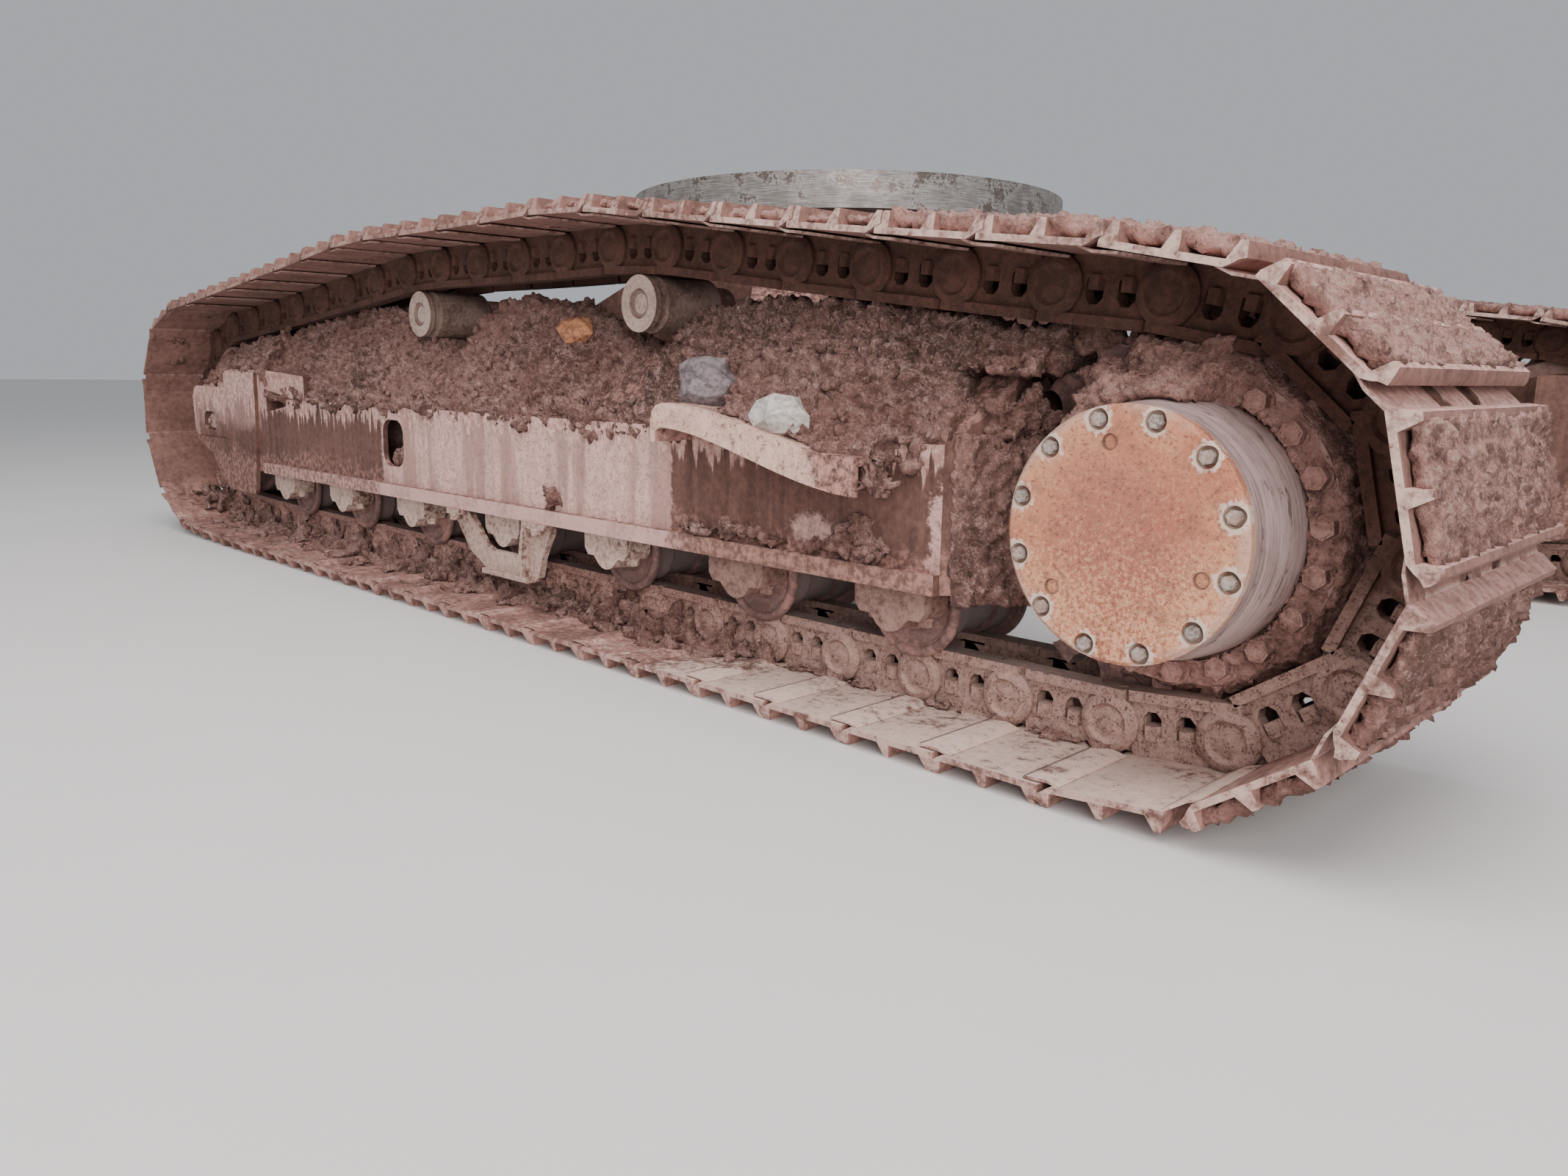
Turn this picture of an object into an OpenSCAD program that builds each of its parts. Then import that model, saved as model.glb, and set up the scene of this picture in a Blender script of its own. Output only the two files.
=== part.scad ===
// Crawler undercarriage of an excavator: two track units on an X-shaped centre frame, with the slewing
// ring on top.
// X points forward to the idlers, Y to the left, Z up. The origin is on the ground below the slewing axis.

/* [Track chain and shoes] */
// Distance between two pins of the chain
link_pitch = 190; // [185:1:196]
// Height of the link rail above the pin centre
pin_to_rail = 57; // [50:1:64]
// Depth of the shoe's inner face below the pin centre
pin_to_shoe = 48; // [44:1:54]
// Clear width between the two link rails
rail_gap = 104; // [96:1:116]
// Width of one link rail
rail_t = 38; // [30:1:40]
// Width of the track shoes
shoe_w = 600; // [560:10:700]
// Thickness of the shoe plate
shoe_t = 10; // [8:1:14]
// Height of the grousers over the shoe plate
grouser_h = 25; // [18:1:32]
// Width of a grouser at its tip
grouser_tip = 10; // [6:1:14]
// Width of a grouser at its foot
grouser_foot = 24; // [18:1:30]
// Distance from the centre of one track to the centre of the other
gauge = 2380; // [2300:10:2500]
// How far the upper run sags between its supports
top_sag = 4; // [0:1:10]
// Angle from the sprocket's lowest point back to the nearest pin
pin_phase = 17.5; // [12:0.5:20]

/* [Wheels and rollers] */
// Distance from the sprocket axis to the idler axis
wheel_base = 3650; // [3560:1:3740]
// Number of teeth of the sprocket, where every second gap takes a pin
sprocket_teeth = 21; // [21:2:23]
// Thickness of the sprocket at its teeth
sprocket_t = 46; // [36:1:56]
// Radius of the bushing on each chain pin
bushing_r = 28; // [24:1:30]
// Radius of the idler's tread
idler_r = 255; // [245:1:265]
// How far the idler stands higher than a chain lying flat would put it
idler_lift = 10; // [0:1:30]
// Number of track rollers of one side
roller_count = 7; // [6:1:7]
// Average distance between two track rollers
roller_pitch = 429; // [420:1:436]
// Distance from the sprocket axis to the first track roller
first_roller = 474; // [464:1:484]
// Radius of the track rollers' tread
roller_r = 78; // [70:1:84]
// Height of the rollers' flanges over the tread
roller_flange = 20; // [14:1:24]
// Radius of the shafts of the track rollers and the idler
roller_shaft_r = 30; // [24:1:36]
// Width of the rollers' flanges
roller_flange_w = 20; // [14:1:24]
// Radius of the carrier rollers' tread
carrier_r = 62; // [54:1:66]
// Distance from the sprocket axis to the rear carrier roller
carrier_rear = 1264; // [1200:1:1320]
// Distance from the sprocket axis to the front carrier roller
carrier_front = 2240; // [2200:1:2280]
// Height of the carrier rollers' axis over the ground
carrier_z = 757; // [745:1:775]

/* [Final drive] */
// Radius of the end cover
cover_r = 178; // [165:1:185]
// Thickness of the end cover
cover_t = 20; // [14:1:26]
// Distance from the track's centre to the outer face of the end cover
cover_reach = 275; // [262:1:290]
// Radius of the gear drum where it meets its flange
drum_r = 192; // [186:1:198]
// Radius of the gear drum's flange
flange_r = 232; // [226:1:238]
// Thickness of the gear drum's flange
flange_t = 34; // [26:1:42]
// Radius of the flange that carries the sprocket
hub_flange_r = 282; // [276:1:286]
// Radius of the travel motor's housing
motor_r = 125; // [105:1:130]
// Distance from the track's centre to the inner end of the travel motor
motor_reach = 262; // [240:1:275]

/* [Side frame] */
// Distance from the track's centre to the outer side of the frame
frame_out = 195; // [185:1:205]
// Distance from the track's centre to the inner side of the frame
frame_in = 185; // [175:1:195]
// Height of the frame's box from its floor to its outer shoulder
frame_side_h = 245; // [230:1:260]
// Height of the frame's box from its floor to its ridge
frame_ridge_h = 380; // [365:1:390]
// Thickness of the frame's plates
frame_wall = 14; // [10:1:18]
// How far the bars along the lower edges stand out beyond the sides
lip = 17; // [10:1:24]
// Height of the bars along the lower edges
lip_h = 34; // [26:1:40]
// Thickness of the floor plate
floor_t = 18; // [14:1:24]
// Distance from the sprocket axis to the rear end of the box
frame_rear = 356; // [350:1:375]
// Distance from the idler axis back to the front end of the box
frame_front = 520; // [500:1:540]
// Length of the closed cheek in front of the box
cheek_l = 325; // [310:1:328]
// Length of the slot under the frame's upper guide bar
slot_l = 170; // [150:1:200]
// Length of the upper guide bar
guide_bar_l = 315; // [280:1:340]
// Height of the upper guide bar
guide_bar_h = 60; // [50:1:70]
// Width of the access hole to the track adjuster
hole_w = 118; // [90:1:140]
// Height of the access hole to the track adjuster
hole_h = 128; // [100:1:150]
// Corner radius of the access hole
hole_corner = 38; // [20:1:42]
// Distance from the sprocket axis to the middle of the access hole
hole_x = 2241; // [2200:1:2290]

/* [Centre frame] */
// Height of the centre frame's underside over the ground
belly_z = 470; // [440:1:490]
// Height of the centre frame's deck over the ground
deck_z = 900; // [880:1:920]
// Radius of the centre frame's drum
core_r = 640; // [610:1:660]
// Thickness of the centre frame's plates
core_wall = 18; // [14:1:24]
// Width of one leg of the centre frame
leg_w = 420; // [380:1:460]
// Distance of a leg's foot from the slewing axis, along the machine
leg_foot = 830; // [780:1:880]
// Height of a leg where it meets the side frame
leg_foot_h = 190; // [170:1:200]
// Radius of the round opening in the belly
belly_hole_r = 230; // [200:1:250]

/* [Slewing ring] */
// Outer radius of the slewing ring
ring_r = 680; // [660:1:700]
// Width of the race that turns
outer_race_w = 82; // [76:1:88]
// Width of the inner race behind its teeth
inner_race_w = 76; // [70:1:82]
// Height of the slewing ring
ring_h = 105; // [90:1:120]
// Height of the slewing ring's top face over the ground
ring_top = 1145; // [1120:1:1160]
// Distance from the ring's outer edge to the circle of bolts that hold the machine's upper frame
bolt_edge = 35; // [30:1:42]
// Number of bolts in that circle
bolt_count = 36; // [30:2:40]
// Radius of a bolt hole
bolt_hole_r = 13; // [10:0.5:14]
// Number of teeth inside the ring
gear_teeth = 90; // [80:1:100]
// Depth of the teeth inside the ring
gear_depth = 22; // [16:1:24]

/* [Hidden] */
$fn = 48;

// Clearance between pieces that lie against each other, and between round ones that turn or roll
seat = 0.3;
eps = 1;

rust_brown = [0.36, 0.24, 0.19];
pale_mud = [0.62, 0.50, 0.43];
dark_brown = [0.25, 0.17, 0.14];
orange_rust = [0.62, 0.37, 0.24];
worn_steel = [0.55, 0.50, 0.46];

// Places along the machine, seen from the side: [x, z]
sprocket_r = link_pitch / (2 * sin(360 / sprocket_teeth));
idler_pin_r = sqrt(pow(idler_r + pin_to_rail + seat, 2) + pow(link_pitch / 2, 2));
pin_z = grouser_h + shoe_t + pin_to_shoe;
sprocket_c = [-wheel_base / 2, pin_z + sprocket_r];
idler_c = [wheel_base / 2, pin_z + idler_pin_r + idler_lift];
roller_z = pin_z + pin_to_rail + roller_r + seat;
// How far each roller stands from an even spacing, because the row keeps clear of the legs
roller_shift = [0, -38, -42, -43, 0, 8, 2];
rollers_x = [
    for (i = [0:roller_count - 1]) sprocket_c[0] + first_roller + i * roller_pitch + roller_shift[i]
];
carriers_x = [sprocket_c[0] + carrier_rear, sprocket_c[0] + carrier_front];
// A chain that bends over a carrier roller rises this much, so that its straight links clear the roller
carrier_gap = 7;
carrier_top = carrier_z + carrier_r + pin_to_rail + carrier_gap;

// The pin line runs forward on the ground, round the idler, back over the carriers and round the sprocket
function reach(a, b) = norm(b - a);
function polar(r, a) = [r * cos(a), r * sin(a)];
function tangent_angle(p, c, r, side) = atan2(p[1] - c[1], p[0] - c[0]) + side * acos(r / reach(p, c));
function as_turn(a) = a < 0 ? a + 360 : a;
// Radius at which an arc has the length of the straight links that lie on it
function link_radius(r) = link_pitch / (2 * asin(link_pitch / 2 / r)) * 180 / PI;

last_ground = [rollers_x[roller_count - 1] + link_pitch, pin_z];
rear_carrier = [carriers_x[0], carrier_top];
front_carrier = [carriers_x[1], carrier_top];
idler_low = as_turn(tangent_angle(last_ground, idler_c, idler_pin_r, 1)) - 360;
idler_high = tangent_angle(front_carrier, idler_c, idler_pin_r, -1);
sprocket_high = tangent_angle(rear_carrier, sprocket_c, sprocket_r, 1);

// Each stretch: [kind, start, end, sag] for a line, [kind, centre, radius, first angle, last angle]
// for an arc
LINE = 0;
ARC = 1;
stretches = [
    [LINE, [sprocket_c[0], pin_z], last_ground, 0],
    [LINE, last_ground, idler_c + polar(idler_pin_r, idler_low), 0],
    [ARC, idler_c, idler_pin_r, idler_low, idler_high],
    [LINE, idler_c + polar(idler_pin_r, idler_high), front_carrier, top_sag],
    [LINE, front_carrier, rear_carrier, top_sag],
    [LINE, rear_carrier, sprocket_c + polar(sprocket_r, sprocket_high), top_sag],
    [ARC, sprocket_c, sprocket_r, sprocket_high, 270]
];
function stretch_length(s) =
    s[0] == LINE ? reach(s[1], s[2]) : link_radius(s[2]) * (s[4] - s[3]) * PI / 180;
function sum_to(n) = n == 0 ? 0 : sum_to(n - 1) + stretch_length(stretches[n - 1]);
starts = [for (i = [0:len(stretches)]) sum_to(i)];
loop_length = starts[len(stretches)];
link_count = round(loop_length / link_pitch);
link_step = loop_length / link_count;

function on_stretch(s, t) =
    s[0] == LINE
        ? s[1] + (s[2] - s[1]) * t - [0, 4 * s[3] * t * (1 - t)]
        : s[1] + polar(s[2], s[3] + (s[4] - s[3]) * t);
function which_stretch(d, i = 0) =
    d < starts[i + 1] || i == len(stretches) - 1 ? i : which_stretch(d, i + 1);
function on_loop(d) =
    let (i = which_stretch(d))
    on_stretch(stretches[i], (d - starts[i]) / stretch_length(stretches[i]));
first_pin = loop_length - link_radius(sprocket_r) * pin_phase * PI / 180;
pins = [for (i = [0:link_count - 1]) on_loop((first_pin + i * link_step) % loop_length)];

function pin_at(i) = pins[(i + link_count) % link_count];
function along(i) = (pin_at(i + 1) - pin_at(i)) / reach(pin_at(i), pin_at(i + 1));
function outward(i) = [along(i)[1], -along(i)[0]];
// The corner at pin i of a line that lies v outside the links
function corner(i, v) =
    let (n = outward(i - 1) + outward(i))
    pin_at(i) + n * 2 * v / (n * n);

// One shoe's outline from end to end: [place along the link from its middle, height over the plate's
// inner face]
shoe_half = link_pitch / 2 - 3;
grouser_rise = shoe_t + grouser_h;
rib = grouser_tip / 2;
foot = grouser_foot / 2;
shoe_outline = [
    [-shoe_half, grouser_rise], [-shoe_half + grouser_tip, grouser_rise],
    [-shoe_half + foot + rib, shoe_t], [-foot, shoe_t],
    [-rib, grouser_rise], [rib, grouser_rise],
    [foot, shoe_t], [shoe_half - foot - rib, shoe_t], [shoe_half, grouser_rise]
];
function on_link(i, p) =
    (pin_at(i) + pin_at(i + 1)) / 2 + along(i) * p[0] + outward(i) * (pin_to_shoe + p[1]);
hinge_t = 3;

// Side frame, from its floor up
frame_z = roller_z + 42;
shoulder_z = frame_z + frame_side_h;
ridge_z = frame_z + frame_ridge_h;
ridge_out = frame_out - (ridge_z - shoulder_z);
inner_shoulder_z = ridge_z - 115;
// The floor is two strips, and the rollers' flanges turn in the gap between them
roller_half = rail_gap / 2 + rail_t + 4 + roller_flange_w;
floor_gap = roller_half + 6;
box_rear_x = sprocket_c[0] + frame_rear;
box_front_x = idler_c[0] - frame_front;
// Half of a 45 degree bend moves an inner corner by this share of the plate's thickness
bend = tan(22.5);

// Tapered rear end of the side frame
taper_l = 106;
taper_x = box_rear_x - taper_l;
taper_in = sprocket_t / 2 + 23;

// Idler fork
fork_in = rail_gap / 2 + rail_t + 34;
fork_low = idler_c[1] - 62;
fork_high = idler_c[1] + 115;
guide_top = shoulder_z + 90;
cheek_low = pin_z + 98;
cheek_x = box_front_x + cheek_l;
idler_half = rail_gap / 2 + rail_t + 3;
block_back = 185;
block_front = 140;
head_x = idler_c[0] - idler_r - 60;
head_t = 56;
bulkhead_x = sprocket_c[0] + hole_x - hole_w - 20;

// Final drive, by distance from the track's centre
hub_face = -sprocket_t / 2;
cover_face = cover_reach - cover_t;
flange_face = 72;
bracket_out = hub_face - 26;
bracket_t = 40;

// Slewing ring
ring_low = ring_top - ring_h;
race_r = ring_r - outer_race_w;
gear_tip_r = race_r - inner_race_w - gear_depth;
bolt_circle_r = ring_r - bolt_edge;
race_gap = 0.3;
ring_step = 8;

// Boarding step, by distance from the sprocket axis
step_front = 992;
step_rear = 470;

// Recoil unit
adjuster_r = 52;
spring_r = 92;
rod_r = 42;

// Swivel joint, by height over its foot
swivel_r = 96;
swivel_body = 300;
swivel_head = 330;

// Draws children's outline, drawn in X and Z, from y0 to y1
module upright(y0, y1) {
    translate([0, y1, 0]) rotate([90, 0, 0]) linear_extrude(y1 - y0) children();
}

// Draws children's outline, drawn in Y and Z, from x0 to x1
module lengthwise(x0, x1) {
    translate([x0, 0, 0]) rotate([90, 0, 90]) linear_extrude(x1 - x0) children();
}

// Turns an outline of [radius, distance] about an axis along Y through a place [x, z]
module turned(c, points) {
    translate([c[0], 0, c[1]]) rotate([-90, 0, 0]) rotate_extrude() polygon(points);
}

// A round bar along Y
module bar(c, r, y0, y1) {
    translate([c[0], y0, c[1]]) rotate([-90, 0, 0]) cylinder(r = r, h = y1 - y0);
}

// Puts a piece drawn for a track centred on Y = 0, outside towards +Y, on the left or right track
module on_side(side) {
    if (side > 0) translate([0, gauge / 2, 0]) children();
    else mirror([0, 1, 0]) translate([0, gauge / 2, 0]) children();
}

module rounded_rect(w, h, r) {
    union() {
        square([w - 2 * r, h], center = true);
        square([w, h - 2 * r], center = true);
        for (sx = [-1, 1], sy = [-1, 1])
            translate([sx * (w / 2 - r), sy * (h / 2 - r)]) circle(r = r);
    }
}

// Track

module track_shoes() {
    color(pale_mud) upright(-shoe_w / 2, shoe_w / 2) difference() {
        polygon([for (i = [0:link_count - 1]) each concat(
            [corner(i, pin_to_shoe + hinge_t)], [for (p = shoe_outline) on_link(i, p)])]);
        polygon([for (i = [0:link_count - 1]) corner(i, pin_to_shoe)]);
    }
}

module track_chain() {
    color(rust_brown) for (side = [-1, 1]) {
        inner = side * rail_gap / 2;
        outer = side * (rail_gap / 2 + rail_t);
        upright(min(inner, outer), max(inner, outer)) difference() {
            polygon([for (i = [0:link_count - 1]) corner(i, pin_to_shoe)]);
            polygon([for (i = [0:link_count - 1]) corner(i, -pin_to_rail)]);
        }
    }
}

// Wheels

module sprocket() {
    gap_r = bushing_r + 1.5;
    color(rust_brown) upright(-sprocket_t / 2, sprocket_t / 2) translate(sprocket_c) difference() {
        circle(r = sprocket_r + 13);
        circle(r = flange_r + 2);
        for (i = [0:sprocket_teeth - 1])
            rotate(270 - pin_phase + i * 360 / sprocket_teeth) translate([sprocket_r, 0]) circle(r = gap_r);
    }
}

module final_drive() {
    color(rust_brown) turned(sprocket_c, [
        [60, bracket_out + seat], [hub_flange_r - 40, bracket_out + seat],
        [hub_flange_r - 40, hub_face - 24],
        [hub_flange_r, hub_face - 24], [hub_flange_r, hub_face], [flange_r, hub_face],
        [flange_r, flange_face + flange_t], [drum_r, flange_face + flange_t],
        [drum_r - 4, flange_face + flange_t + 60], [cover_r, cover_face - 30],
        [cover_r, cover_face], [60, cover_face]
    ]);
}

module drive_cover() {
    bolt_r = cover_r - 17;
    plug_r = cover_r - 50;
    color(orange_rust) difference() {
        turned(sprocket_c, [
            [0, cover_face], [cover_r, cover_face], [cover_r, cover_reach - 6],
            [cover_r - 6, cover_reach], [0, cover_reach]
        ]);
        for (i = [0:11])
            bar(sprocket_c + polar(bolt_r, 15 + 30 * i), 15, cover_reach - 9, cover_reach + eps);
        for (i = [0:2])
            bar(sprocket_c + polar(plug_r, 80 + 120 * i), 11, cover_reach - 5, cover_reach + eps);
    }
}

module travel_motor() {
    back = -motor_reach;
    color(dark_brown) turned(sprocket_c, [
        [0, back], [motor_r - 45, back], [motor_r - 30, back + 18], [motor_r - 30, back + 70],
        [motor_r, back + 78], [motor_r, bracket_out - bracket_t - 30],
        [motor_r + 32, bracket_out - bracket_t - 30],
        [motor_r + 32, bracket_out - bracket_t], [0, bracket_out - bracket_t]
    ]);
}

module idler() {
    rim = 34;
    hub_r = 74;
    web = 20;
    color(worn_steel) turned(idler_c, [
        [roller_shaft_r + 6 + seat, -idler_half + 4], [hub_r, -idler_half + 4], [hub_r + 6, -web],
        [idler_r - rim, -idler_half + 34], [idler_r - rim, -idler_half], [idler_r, -idler_half],
        [idler_r, -rail_gap / 2 + 6], [idler_r + 20, -rail_gap / 2 + 12],
        [idler_r + 20, rail_gap / 2 - 12], [idler_r, rail_gap / 2 - 6], [idler_r, idler_half],
        [idler_r - rim, idler_half], [idler_r - rim, idler_half - 34], [hub_r + 6, web],
        [hub_r, idler_half - 4], [roller_shaft_r + 6 + seat, idler_half - 4]
    ]);
}

// The idler's shaft and bearing blocks, the arms behind them and the crosshead that the recoil rod pushes
module idler_yoke() {
    arm_out = fork_in - 2;
    arm_in = idler_half + 3;
    block_out = frame_out + 6;
    low = fork_low + seat - idler_c[1];
    high = fork_high - seat - idler_c[1];
    eye = [idler_c[0] - 25, idler_c[1] - 8];
    color(rust_brown) difference() {
        union() {
            bar(idler_c, roller_shaft_r + 6, -arm_out, arm_out);
            for (side = [-1, 1]) {
                upright(side > 0 ? arm_in : -block_out, side > 0 ? block_out : -arm_in)
                    translate(idler_c) polygon([
                        [-block_back, low], [block_front - 28, low], [block_front - 8, low + 22],
                        [block_front, high - 40], [block_front - 20, high - 8],
                        [block_front - 50, high], [-block_back, high]
                    ]);
                upright(side > 0 ? arm_in : -arm_out, side > 0 ? arm_out : -arm_in)
                    translate([head_x - head_t, idler_c[1] - 42]) square([idler_c[0] - head_x, 84]);
            }
            upright(-arm_out, arm_out) translate([head_x - head_t, idler_c[1] - 42]) square([head_t, 84]);
        }
        // Pocket in the outer face of each block, where the shaft's lock sits
        for (side = [-1, 1])
            upright(side > 0 ? block_out - 22 : -block_out - eps,
                side > 0 ? block_out + eps : 22 - block_out)
                translate(eye) rounded_rect(116, 68, 30);
    }
}

// Track adjuster and recoil spring, which lie inside the side frame
module recoil_unit() {
    tail = bulkhead_x + frame_wall;
    spring_x = hole_w + 120;
    spring_end = box_front_x - tail - 60;
    color(dark_brown) translate([tail, 0, idler_c[1]]) rotate([0, 90, 0]) rotate_extrude() polygon([
        [0, 0], [adjuster_r, 0], [adjuster_r, spring_x], [spring_r, spring_x + 10], [spring_r, spring_end],
        [rod_r, spring_end + 10], [rod_r, head_x - head_t - tail], [0, head_x - head_t - tail]
    ]);
}

module track_rollers() {
    flange_in = roller_half - roller_flange_w;
    neck = rail_gap / 2 - 6;
    round_r = roller_flange_w / 2;
    rim_r = roller_r + roller_flange - round_r;
    hub_r = roller_shaft_r + 16;
    dish = roller_half - 10;
    color(rust_brown) for (x = rollers_x)
        translate([x, 0, roller_z]) rotate([-90, 0, 0]) rotate_extrude() union() {
        polygon([
            [0, -roller_half], [hub_r, -roller_half], [hub_r + 6, -dish], [roller_r - 6, -dish],
            [rim_r, -roller_half + 2], [rim_r, -flange_in - 1],
            [roller_r, -flange_in + 4], [roller_r, -neck], [roller_r - 8, -neck + 8],
            [roller_r - 8, neck - 8], [roller_r, neck], [roller_r, flange_in - 4],
            [rim_r, flange_in + 1], [rim_r, roller_half - 2], [roller_r - 6, dish], [hub_r + 6, dish],
            [hub_r, roller_half], [0, roller_half]
        ]);
        for (side = [-1, 1]) translate([rim_r, side * (roller_half - round_r)]) circle(r = round_r);
    }
}

// The blocks that hold the ends of each roller's shaft under the side frame
module roller_collars() {
    y_in = roller_half + seat;
    y_out = frame_in - 6;
    half = 78;
    foot_z = roller_z - 14;
    color(pale_mud) for (x = rollers_x, side = [-1, 1])
        upright(side > 0 ? y_in : -y_out, side > 0 ? y_out : -y_in)
            translate([x, 0]) union() {
                translate([0, roller_z]) circle(r = roller_shaft_r + 11);
                polygon([
                    [-half, frame_z], [-half, foot_z + 16], [-half + 12, foot_z], [-44, foot_z],
                    [-36, foot_z - 8], [36, foot_z - 8], [44, foot_z], [half - 12, foot_z],
                    [half, foot_z + 16], [half, frame_z]
                ]);
            }
}

// Guards beside the middle roller that keep the chain in line: two legs, a bar between them and
// stiffening ribs
module track_guards() {
    x = rollers_x[floor(roller_count / 2)];
    y_in = frame_in - 4;
    t = 16;
    rib_out = y_in + t + 22;
    low = pin_z + 30;
    bar_h = 57;
    foot_t = 14;
    // Along the machine from the roller's axis
    top_rear = -246;
    top_front = 200;
    low_rear = -188;
    low_front = 34;
    rib_x = -153;
    color(pale_mud) for (side = [-1, 1]) translate([x, 0]) mirror([0, side > 0 ? 0 : 1, 0]) union() {
        upright(y_in, y_in + t) difference() {
            polygon([
                [top_rear, frame_z], [top_rear + 6, frame_z - 22], [low_rear - 14, low + 62],
                [low_rear, low + 14], [low_rear + 20, low], [low_front, low], [low_front + 94, low + 47],
                [top_front, frame_z - foot_t], [top_front, frame_z]
            ]);
            polygon([
                [rib_x, frame_z + eps], [rib_x + 16, low + bar_h + 20], [rib_x + 34, low + bar_h],
                [low_front - 10, low + bar_h], [low_front + 20, low + bar_h + 14],
                [top_front - 68, frame_z + eps]
            ]);
        }
        upright(y_in + t - eps, rib_out) union() {
            polygon([
                [rib_x - 12, frame_z], [rib_x, frame_z], [rib_x + 16, low + bar_h + 20],
                [rib_x + 16, low + 6], [rib_x + 4, low + 6], [rib_x + 4, low + bar_h + 20]
            ]);
            translate([low_rear + 20, low]) square([low_front - low_rear - 20, 12]);
            translate([top_rear, frame_z - foot_t]) square([rib_x - top_rear - 6, foot_t]);
            translate([top_front - 64, frame_z - foot_t]) square([64, foot_t]);
        }
    }
}

module carrier_rollers() {
    half = rail_gap / 2 + rail_t + 4;
    color(worn_steel) for (x = carriers_x) turned([x, carrier_z], [
        [28 + seat, -half], [carrier_r - 14, -half], [carrier_r, -half + 8], [carrier_r, half - 30],
        [carrier_r - 12, half - 26], [carrier_r - 12, half - 10], [carrier_r - 1, half - 8],
        [carrier_r - 1, half + 6], [carrier_r - 30, half + 6], [carrier_r - 34, half], [0, half],
        [0, half - 20], [28 + seat, half - 20]
    ]);
}

// Shafts of the carrier rollers and the clamps on the frame's inner slope that hold them
module carrier_brackets() {
    half = rail_gap / 2 + rail_t + 4;
    clamp_in = half + 8;
    clamp_out = clamp_in + 44;
    color(rust_brown) for (x = carriers_x) union() {
        bar([x, carrier_z], 28, -clamp_out, half - 22);
        bar([x, carrier_z], 46, -clamp_out, -clamp_in);
        lengthwise(x - 52, x + 52) polygon([
            [-clamp_out, inner_shoulder_z + frame_in - clamp_out],
            [-clamp_in, inner_shoulder_z + frame_in - clamp_in],
            [-clamp_in, carrier_z], [-clamp_out, carrier_z]
        ]);
    }
}

// Side frame

module box_section(t) {
    polygon([
        [-frame_in + t, frame_z + (t > 0 ? floor_t : 0)], [frame_out - t, frame_z + (t > 0 ? floor_t : 0)],
        [frame_out - t, shoulder_z - t * bend], [ridge_out - t * bend, ridge_z - t],
        [-frame_in + ridge_z - inner_shoulder_z + t * bend, ridge_z - t],
        [-frame_in + t, inner_shoulder_z - t * bend]
    ]);
}

// The fork's closed cheeks and, in front of them, the guides in which the idler's blocks slide
module fork() {
    front = idler_c[0] + 93;
    for (side = [-1, 1]) {
        y0 = side > 0 ? fork_in : -frame_in;
        y1 = side > 0 ? frame_out : -fork_in;
        upright(y0, y1)
            polygon([
                [box_front_x, frame_z], [front - 168, frame_z + 8], [front - 141, frame_z + 35],
                [front, fork_low - 16], [front, fork_low], [cheek_x, fork_low], [cheek_x, fork_high],
                [front - 50, fork_high], [front - 90, fork_high + 20], [cheek_x, guide_top - 6],
                [cheek_x - 40, guide_top], [box_front_x, guide_top]
            ]);
    }
    // Wear plate on the outer cheek, which hangs down beside the idler
    upright(frame_out - eps, frame_out + 12) polygon([
        [box_front_x + 52, guide_top - 8], [box_front_x + 60, frame_z + 100],
        [box_front_x + 95, cheek_low + 12], [box_front_x + 107, cheek_low], [cheek_x, cheek_low],
        [cheek_x + 84, frame_z - 30], [front - 141, frame_z + 35], [front, fork_low - 16],
        [front, fork_low - 2], [cheek_x, fork_low - 2], [cheek_x, guide_top - 14],
        [cheek_x - 30, guide_top - 4]
    ]);
    // Guide bar over the slot in the box's outer side
    upright(frame_out - 28, frame_out) polygon([
        [box_front_x + eps, guide_top], [box_front_x + eps, guide_top - guide_bar_h],
        [box_front_x - guide_bar_l, shoulder_z - 8], [box_front_x - guide_bar_l, guide_top - 16]
    ]);
}

// The box's rear end, which tapers towards the final drive and is open to the inside
module taper() {
    module plan(shift, margin) translate([0, 0, frame_z]) linear_extrude(frame_ridge_h) polygon([
        [box_rear_x + eps, taper_in - margin], [box_rear_x + eps, frame_out - shift],
        [box_rear_x, frame_out - shift], [box_rear_x - 31 + shift, frame_out - 30],
        [taper_x + shift, taper_in + 4], [taper_x + shift, taper_in - margin]
    ]);
    difference() {
        intersection() {
            lengthwise(taper_x - eps, box_rear_x + eps) box_section(0);
            plan(0, 0);
        }
        intersection() {
            lengthwise(taper_x - eps, box_rear_x) box_section(frame_wall);
            plan(frame_wall + 3, eps);
        }
        // Notch that keeps the upper corner clear of the final drive
        translate([taper_x - eps, taper_in - eps, shoulder_z + 20]) cube([40, 60, frame_ridge_h]);
    }
}

// The plate behind the sprocket that the travel motor and final drive are bolted to
module motor_bracket() {
    bracket_r = flange_r + 6;
    upright(bracket_out - bracket_t, bracket_out) difference() {
        union() {
            translate(sprocket_c) circle(r = bracket_r);
            polygon([
                sprocket_c + polar(bracket_r, 262), [box_rear_x, frame_z],
                [box_rear_x, inner_shoulder_z + 60], sprocket_c + polar(bracket_r, 76)
            ]);
        }
        translate(sprocket_c) circle(r = 118);
    }
    // Two ribs tie the bracket to the box, above the first roller's flanges
    for (z = [roller_z + roller_r + roller_flange + 12, inner_shoulder_z + 30])
        upright(-frame_in, bracket_out - bracket_t)
            polygon([
                [box_rear_x, z], [box_rear_x, z + floor_t],
                [box_rear_x - 130, z + floor_t], [box_rear_x - 130, z]
            ]);
}

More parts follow.
